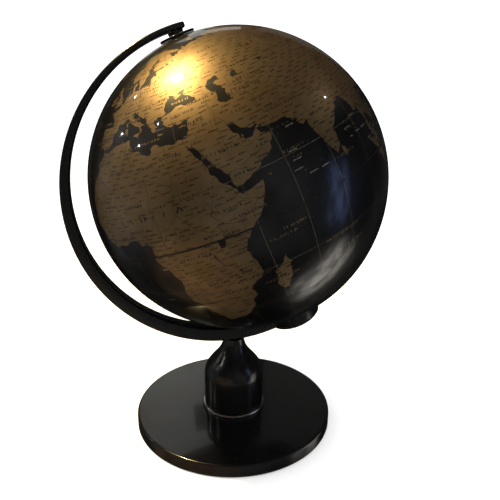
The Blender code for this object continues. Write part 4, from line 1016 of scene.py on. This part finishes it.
def arm_section(angle, inset, steps=5, rounding=0.0013):
    """The rounded section of the arm at this angle seen from the globe's centre, drawn in by inset."""
    inner, outer = on_arc(ARM_INNER, angle) + inset, on_arc(ARM_OUTER, angle) - inset
    half = ARM_WIDTH / 2 - inset
    fillet = max(0.0002, rounding - inset)
    ray = Vector((math.cos(angle), 0.0, math.sin(angle)))
    section = []
    for reach, y, start in ((outer, half, 0), (inner, half, 90), (inner, -half, 180), (outer, -half, 270)):
        mid_reach = reach - fillet if reach == outer else reach + fillet
        mid_y = y - math.copysign(fillet, y)
        for k in range(steps + 1):
            turn = math.radians(start + 90 * k / steps)
            r = mid_reach + fillet * math.cos(turn)
            section.append(CENTRE + ray * r + Vector((0.0, mid_y + fillet * math.sin(turn), 0.0)))
    return section


def make_arm():
    start = math.pi / 2 + TILT - ARM_PAST_NORTH
    end = 3 * math.pi / 2 + TILT + ARM_PAST_SOUTH
    turns = [math.radians(90 * k / 6) for k in range(6, -1, -1)]
    ends = [(END_ROUNDING * (1 - math.sin(turn)), END_ROUNDING * (1 - math.cos(turn))) for turn in turns]
    first, last = start + END_ROUNDING / ARM_REACH, end - END_ROUNDING / ARM_REACH
    count = 150
    sections = [arm_section(start + along / ARM_REACH, inset) for along, inset in ends]
    sections += [arm_section(first + (last - first) * i / count, 0.0) for i in range(1, count)]
    sections += [arm_section(end - along / ARM_REACH, inset) for along, inset in reversed(ends)]
    around = len(sections[0])
    points = [p for section in sections for p in section]
    faces = [list(range(around)), list(range(len(points) - around, len(points)))]
    for i in range(len(sections) - 1):
        for k in range(around):
            n = (k + 1) % around
            faces.append((i * around + k, i * around + n, (i + 1) * around + n, (i + 1) * around + k))
    arm = new_object("arm_moulding", mesh_from("arm_moulding", points, faces), ARM_BLACK, HERE)
    boss_end = -BOSS_END - GAP
    boss = [(0, -BOSS_TOP, 0), (BOSS_RADIUS, -BOSS_TOP, 0.0014), (BOSS_RADIUS, boss_end, 0), (0, boss_end, 0)]
    tools = [(lathe("boss", filleted(boss), 96), ON_AXIS, "UNION")]
    for radius, bottom, top, place in (
        (CAP_RADIUS + 2 * GAP, -CUT_END, -BOSS_END, ON_AXIS),
        (SOUTH_SEAT_RADIUS, -SOUTH_SEAT, -CUT_TOP, ON_AXIS),
        (PIN_BORE, -SOUTH_HOLE_END, -CUT_TOP, ON_AXIS),
        (RECESS_RADIUS, -RECESS_CUT_END, -RECESS_FLOOR, ON_AXIS),
        (COLLAR_RADIUS + GAP, CUT_TOP, COLLAR_SEAT, ON_AXIS),
        (PIN_BORE, CUT_TOP, NORTH_PIN_END + GAP, ON_AXIS),
        (INSERT_RADIUS + GAP, BOLT_CUT_START, INSERT_TOP + GAP, HERE),
    ):
        tools.append((lathe("cut", cylinder_outline(radius, bottom, top), 48), place, "DIFFERENCE"))
    cut_and_join(arm, tools)
    finish_piece(arm, "stand", "black_plastic", "arm")


def make_cap():
    inside_top = -CAP_EDGE + 0.0006
    spigot_top = -BOSS_END - GAP + 0.0029
    seat = -BOSS_END - GAP
    cap = [(0, inside_top, 0), (CAP_SPIGOT_BORE, inside_top, 0.0003), (CAP_SPIGOT_BORE, spigot_top, 0.0002)]
    cap += [(CAP_SPIGOT, spigot_top, 0.0003), (CAP_SPIGOT, seat, 0), (CAP_RADIUS, seat, 0.0003)]
    cap += [(CAP_RADIUS, -CAP_EDGE, 0.0005), (0.0186, -0.1133, 0.0008), (0.0160, -0.1139, 0.006)]
    cap += [(0.0110, -0.1144, 0.01), (0, -CAP_END, 0)]
    finish_piece(turned("south_cap_dome", filleted(cap), BLACK, ON_AXIS), "stand", "black_plastic", "south_cap")


def make_collar():
    top, bottom = COLLAR_SEAT - GAP, DIAL_TOP + GAP
    collar = [(PIN_BORE, top, 0), (COLLAR_RADIUS, top, 0), (COLLAR_RADIUS, bottom, 0.0003), (PIN_BORE, bottom, 0)]
    piece = turned("north_collar_turned", filleted(collar, 4), BLACK, ON_AXIS, 64)
    finish_piece(piece, "stand", "black_plastic", "north_collar")


make_arm()
make_cap()
make_collar()

# ---------------------------------------------------------------- the hour dial

BEAD = 0.0006  # width of the beaded rim
DIAL_SLOPE = math.atan2(DIAL_DROP, DIAL_RADIUS - DIAL_HUB)
HOUR_MARKS = 48
PRINT = 0.00004  # how far the print stands up


def on_dish(angle, radius):
    """The frame of a place on the dial's slope, its X pointing out."""
    drop = (radius - DIAL_HUB) * math.tan(DIAL_SLOPE)
    down = Matrix.Translation((radius, 0.0, DIAL_TOP - drop)) @ Matrix.Rotation(DIAL_SLOPE, 4, "Y")
    return Matrix.Rotation(angle, 4, "Z") @ down


def make_dish():
    rim = DIAL_TOP - DIAL_DROP
    bead = DIAL_RADIUS - BEAD
    edge = DIAL_RADIUS + 0.0001
    underside = DIAL_TOP - DIAL_THICKNESS
    outline = [(RUNNING_BORE, DIAL_TOP, 0), (DIAL_HUB, DIAL_TOP, 0.002), (bead, rim + 0.0001, 0.0001)]
    outline += [(bead + 0.0001, rim + 0.0005, 0.0002), (edge, rim + 0.0005, 0.0003), (edge, rim - 0.0009, 0.0003)]
    outline += [(bead, rim - 0.0009, 0.0002), (DIAL_HUB, underside, 0.002), (RUNNING_BORE, underside, 0)]
    dish = turned("hour_dial_dish", filleted(outline, 4), BLACK, ON_AXIS)
    finish_piece(dish, "hour_dial_body", "black_plastic", "hour_dial")


def add_mark(shape, i):
    """A small raised line, longer and wider at every second place."""
    length, half = (0.0006, 0.00009) if i % 2 else (0.0011, 0.00013)
    place = on_dish(2 * math.pi * i / HOUR_MARKS, DIAL_RADIUS - 0.0009)
    start, end = BEAD - length, BEAD
    flat = ((start, -half), (end, -half), (end, half), (start, half))
    verts = [shape.verts.new(place @ Vector((x, y, z))) for z in (-0.00003, PRINT) for x, y in flat]
    for face in ((3, 2, 1, 0), (4, 5, 6, 7), (0, 1, 5, 4), (1, 2, 6, 5), (2, 3, 7, 6), (3, 0, 4, 7)):
        shape.faces.new([verts[k] for k in face])


def add_numeral(shape, hour):
    text = bpy.data.curves.new("numeral", "FONT")
    text.body = str(hour)
    text.size = 0.0019
    text.align_x = text.align_y = "CENTER"
    text.extrude = PRINT
    text.resolution_u = 3
    holder = bpy.data.objects.new("numeral", text)
    bpy.context.scene.collection.objects.link(holder)
    letters = as_mesh(holder)
    bpy.data.objects.remove(holder, do_unlink=True)
    place = on_dish(-2 * math.pi * hour / 24, DIAL_RADIUS - 0.0030)
    letters.transform(place @ Matrix.Rotation(-math.pi / 2, 4, "Z"))
    shape.from_mesh(letters)


def make_dial_print():
    shape = bmesh.new()
    for i in range(HOUR_MARKS):
        add_mark(shape, i)
    for hour in range(2, 25, 2):
        add_numeral(shape, hour)
    bmesh.ops.remove_doubles(shape, verts=shape.verts, dist=0.000002)
    mesh = bpy.data.meshes.new("hour_dial_marks")
    shape.to_mesh(mesh)
    shape.free()
    finish_piece(new_object("hour_dial_marks", mesh, MARKS, ON_AXIS, 20), "hour_dial_body", "black_plastic")


make_dish()
make_dial_print()

# ---------------------------------------------------------------- the column and the base


def make_column():
    flare = [(NECK_RADIUS, NECK_TOP), (0.0083, 0.0520), (0.0220, 0.0495), SHOULDER]
    foot = [(SHOULDER[0], FOOT_STEP + 0.002, 0), (SHOULDER[0], FOOT_STEP, 0.0005), (FOOT_RADIUS, FOOT_STEP, 0.0001)]
    bottom = BASE_TOP + GAP
    column = [(COLUMN_BORE, NECK_TOP), *bezier(flare, 40), *filleted(foot)[:-1]]
    column += [(FOOT_RADIUS, FOOT_STEP), (FOOT_RADIUS, bottom), (COLUMN_HOLLOW, bottom)]
    column += [(COLUMN_HOLLOW, 0.033), (COLUMN_BORE, 0.050)]
    finish_piece(turned("column_turned", column, BLACK, HERE, 128), "stand", "black_plastic", "column")


def make_foot_ring():
    within, top, bottom = FOOT_RADIUS + GAP, FOOT_STEP - GAP, BASE_TOP + GAP
    ring = [(within, top, 0.0002), (RING_OUTER, top, 0.0010), (RING_OUTER, bottom, 0.0002), (within, bottom, 0)]
    finish_piece(turned("foot_ring_turned", filleted(ring), TRIM, HERE, 128), "stand", "bright_trim", "foot_ring")


def make_base():
    wall = BASE_RADIUS - BASE_WALL
    outline = [(COLUMN_BORE, BASE_TOP, 0), (BASE_RADIUS, BASE_TOP, BASE_EDGE), (BASE_RADIUS, BASE_RIM, 0.0005)]
    outline += [(wall, BASE_RIM, 0.0003), (wall, BASE_CEILING, 0.001), (COLUMN_BORE, BASE_CEILING, 0)]
    base = turned("base_disc", filleted(outline, 8), BLACK, HERE, 192)
    tools = []
    for i in range(4):
        angle = math.pi / 4 + i * math.pi / 2
        place = Matrix.Translation((SCREW_CIRCLE * math.cos(angle), SCREW_CIRCLE * math.sin(angle), 0.0))
        boss = cylinder_outline(SCREW_BOSS_RADIUS, SCREW_BOSS_BOTTOM, BASE_CEILING + GAP)
        hole = cylinder_outline(SCREW_HOLE_RADIUS, 0.0, BASE_CEILING + 3 * GAP)
        tools.append((lathe("boss", boss, 32), place, "UNION"))
        tools.append((lathe("hole", hole, 24), place, "DIFFERENCE"))
    cut_and_join(base, tools)
    finish_piece(base, "stand", "black_plastic", "base_shell")


make_column()
make_foot_ring()
make_base()

# ---------------------------------------------------------------- what the CAD nodes are made of

# The CAD nodes that show as they are.
FINISHES = {
    STEEL: "north_pin south_pin south_spring_washer south_lock_washer south_nut clamp_bolt clamp_washer "
    "plate_screw_1 plate_screw_2 plate_screw_3 plate_screw_4",
    WEIGHT: "base_weight",
    BRASS: "north_bush south_bush arm_insert",
    NYLON: "dial_washer south_thrust_washer",
    BOARD: "joining_ring bottom_plate",
    FELT: "felt_pad",
}
for material, names in FINISHES.items():
    for name in names.split():
        for holder in NODES[name].material_slots:
            holder.material = material

# ---------------------------------------------------------------- floor, light and camera

WHITE = (1.0, 1.0, 1.0, 1.0)
SKY = 1.42  # strength of the white all round
ROOM_DARK, ROOM_LIGHT = 0.014, 0.10  # what reflections see instead, away from and towards ROOM_WAY
ROOM_WAY = (0.05, -0.99, -0.05)
COOL_WHITE, WARM_WHITE = (0.93, 0.96, 1.0), (1.0, 0.96, 0.9)


def make_floor():
    shape = bmesh.new()
    bmesh.ops.create_grid(shape, x_segments=8, y_segments=8, size=40.0)
    mesh = bpy.data.meshes.new("floor")
    shape.to_mesh(mesh)
    shape.free()
    mat, node, shader = nodes_of("floor_paper")
    cloud = noise(node, node("TexCoord").outputs["Object"], 3.0)
    shade = blend_colours(node, cloud, (0.90, 0.90, 0.90, 1.0), (0.93, 0.93, 0.93, 1.0))
    linked(shader, Base_Color=shade, Roughness=0.9, Specular_IOR_Level=0.0)
    linked(shader, Emission_Color=WHITE, Emission_Strength=0.1)
    floor = new_object("floor", mesh, mat, HERE, 0)
    floor.visible_glossy = False


def soften(light):
    """Fades the light towards its edges and makes it uneven, so that its mirror image has no outline."""
    light.use_nodes = True
    node = maker(light.node_tree)
    spot = node("NewGeometry").outputs["Parametric"]
    across, up, _ = (Value(part) for part in node("SeparateXYZ", {0: spot}).outputs)
    fade = [ramp(node, way.maths("PINGPONG", 0.5), 0.0, 0.35, smooth=True) for way in (across, up)]
    patches = ramp(node, noise(node, spot, 4.0, 2.0), 0.38, 0.60, 0.3, 1.3)
    put(light.node_tree.nodes["Emission"].inputs["Strength"], fade[0] * fade[1] * patches)


def lamp(name, place, target, size, power, colour, tall=None, soft=False):
    """An area light that shows in reflections and not to the camera."""
    light = bpy.data.lights.new(name, "AREA")
    light.shape = "RECTANGLE" if tall else "DISK"
    light.size = size
    if tall:
        light.size_y = tall
    light.energy = power
    light.color = colour
    if soft:
        soften(light)
    obj = bpy.data.objects.new(name, light)
    bpy.context.scene.collection.objects.link(obj)
    obj.location = place
    obj.rotation_mode = "QUATERNION"
    obj.rotation_quaternion = (Vector(target) - Vector(place)).to_track_quat("-Z", "Y")
    obj.visible_camera = False


def make_world():
    """White all round for the camera and for soft light; reflections see a dim room, lighter behind the camera."""
    world = bpy.data.worlds.new("studio")
    bpy.context.scene.world = world
    world.use_nodes = True
    world.cycles.sampling_method = "NONE"
    node = maker(world.node_tree)
    way = node("TexCoord").outputs["Generated"]
    facing = node("VectorMath", {0: way, 1: ROOM_WAY}, operation="DOT_PRODUCT").outputs["Value"]
    room = ramp(node, facing, 0.55, 1.0, ROOM_DARK, ROOM_LIGHT)
    uneven = ramp(node, noise(node, way, 2.6, 1.0), 0.35, 0.65, 0.4, 1.5)
    glossy = node("LightPath").outputs["Is Glossy Ray"]
    back = world.node_tree.nodes["Background"]
    put(back.inputs["Strength"], ramp(node, glossy, 0.0, 1.0, SKY, room * uneven))
    put(back.inputs["Color"], WHITE)


def make_panels():
    """Upright panels behind the globe, facing the camera, that the base mirrors."""
    # Left, right, low and high edges, and brightness.
    panels = (
        (-0.12, 0.10, 0.30, 1.0, 0.5),
        (0.10, 0.17, 0.30, 0.64, 0.5),
        (0.10, 0.27, 0.80, 1.0, 0.5),
        (0.36, 0.75, 0.35, 1.0, 0.06),
    )
    for i, (left, right, low, high, glow) in enumerate(panels):
        across, tall = right - left, high - low
        place = Vector(((left + right) / 2, 0.95, (low + high) / 2))
        power = glow * math.pi * across * tall
        lamp(f"panel_{i + 1}", place, place - Vector((0, 1, 0)), across, power, (1.0, 1.0, 0.94), tall)


def make_downlights():
    """Small ceiling lights, each told by the point of the ball where it glints and the way to it from there."""
    glints = (
        ((-0.067, -0.044, 0.236), (-0.613, 0.568, 0.549)),
        ((-0.058, -0.067, 0.223), (-0.807, -0.008, 0.590)),
        ((-0.075, -0.050, 0.217), (-0.824, 0.450, 0.344)),
        ((-0.067, -0.063, 0.212), (-0.929, 0.106, 0.355)),
        ((0.029, -0.079, 0.237), (0.722, -0.037, 0.690)),
    )
    for i, (start, way) in enumerate(glints):
        lamp(f"downlight_{i + 1}", Vector(start) + Vector(way) * 1.4, start, 0.022, 0.25, WARM_WHITE)


def make_camera():
    data = bpy.data.cameras.new("camera")
    data.sensor_width = 36.0
    data.lens = 35.683
    data.clip_start, data.clip_end = 0.02, 200.0
    camera = bpy.data.objects.new("camera", data)
    bpy.context.scene.collection.objects.link(camera)
    forward = Vector((0.2751, 0.9209, -0.2762)).normalized()
    right = Vector((0.9589, -0.2837, 0.0092))
    right = (right - forward * right.dot(forward)).normalized()
    turn = Matrix((right, right.cross(forward), -forward)).transposed().to_4x4()
    camera.matrix_world = Matrix.Translation((-0.08666, -0.33099, 0.23153)) @ turn
    bpy.context.scene.camera = camera
    bpy.context.scene.view_settings.view_transform = "Standard"


make_floor()
make_world()
lamp("key", (-0.455, 0.183, 1.010), (-0.045, -0.058, 0.246), 0.085, 13.5, (1.0, 0.735, 0.33))
strip_place, strip_target = (0.275, -0.235, 0.175), (0.03, -0.095, 0.185)
lamp("strip_right", strip_place, strip_target, 0.14, 0.10, (0.38, 0.50, 1.0), 0.29, soft=True)
card_place, card_target = (0.165, -0.105, 0.002), (0.04, -0.08, 0.14)
lamp("card_right", card_place, card_target, 0.13, 0.13, (1.0, 0.94, 0.84), 0.22, soft=True)
make_panels()
lamp("veil_left", (-0.60, 0.16, 0.08), CENTRE, 0.95, 0.30, COOL_WHITE, 0.95, soft=True)
lamp("amber_low", (-0.125, -0.10, 0.012), CENTRE, 0.26, 0.048, (1.0, 0.62, 0.30), 0.26, soft=True)
make_downlights()
make_camera()
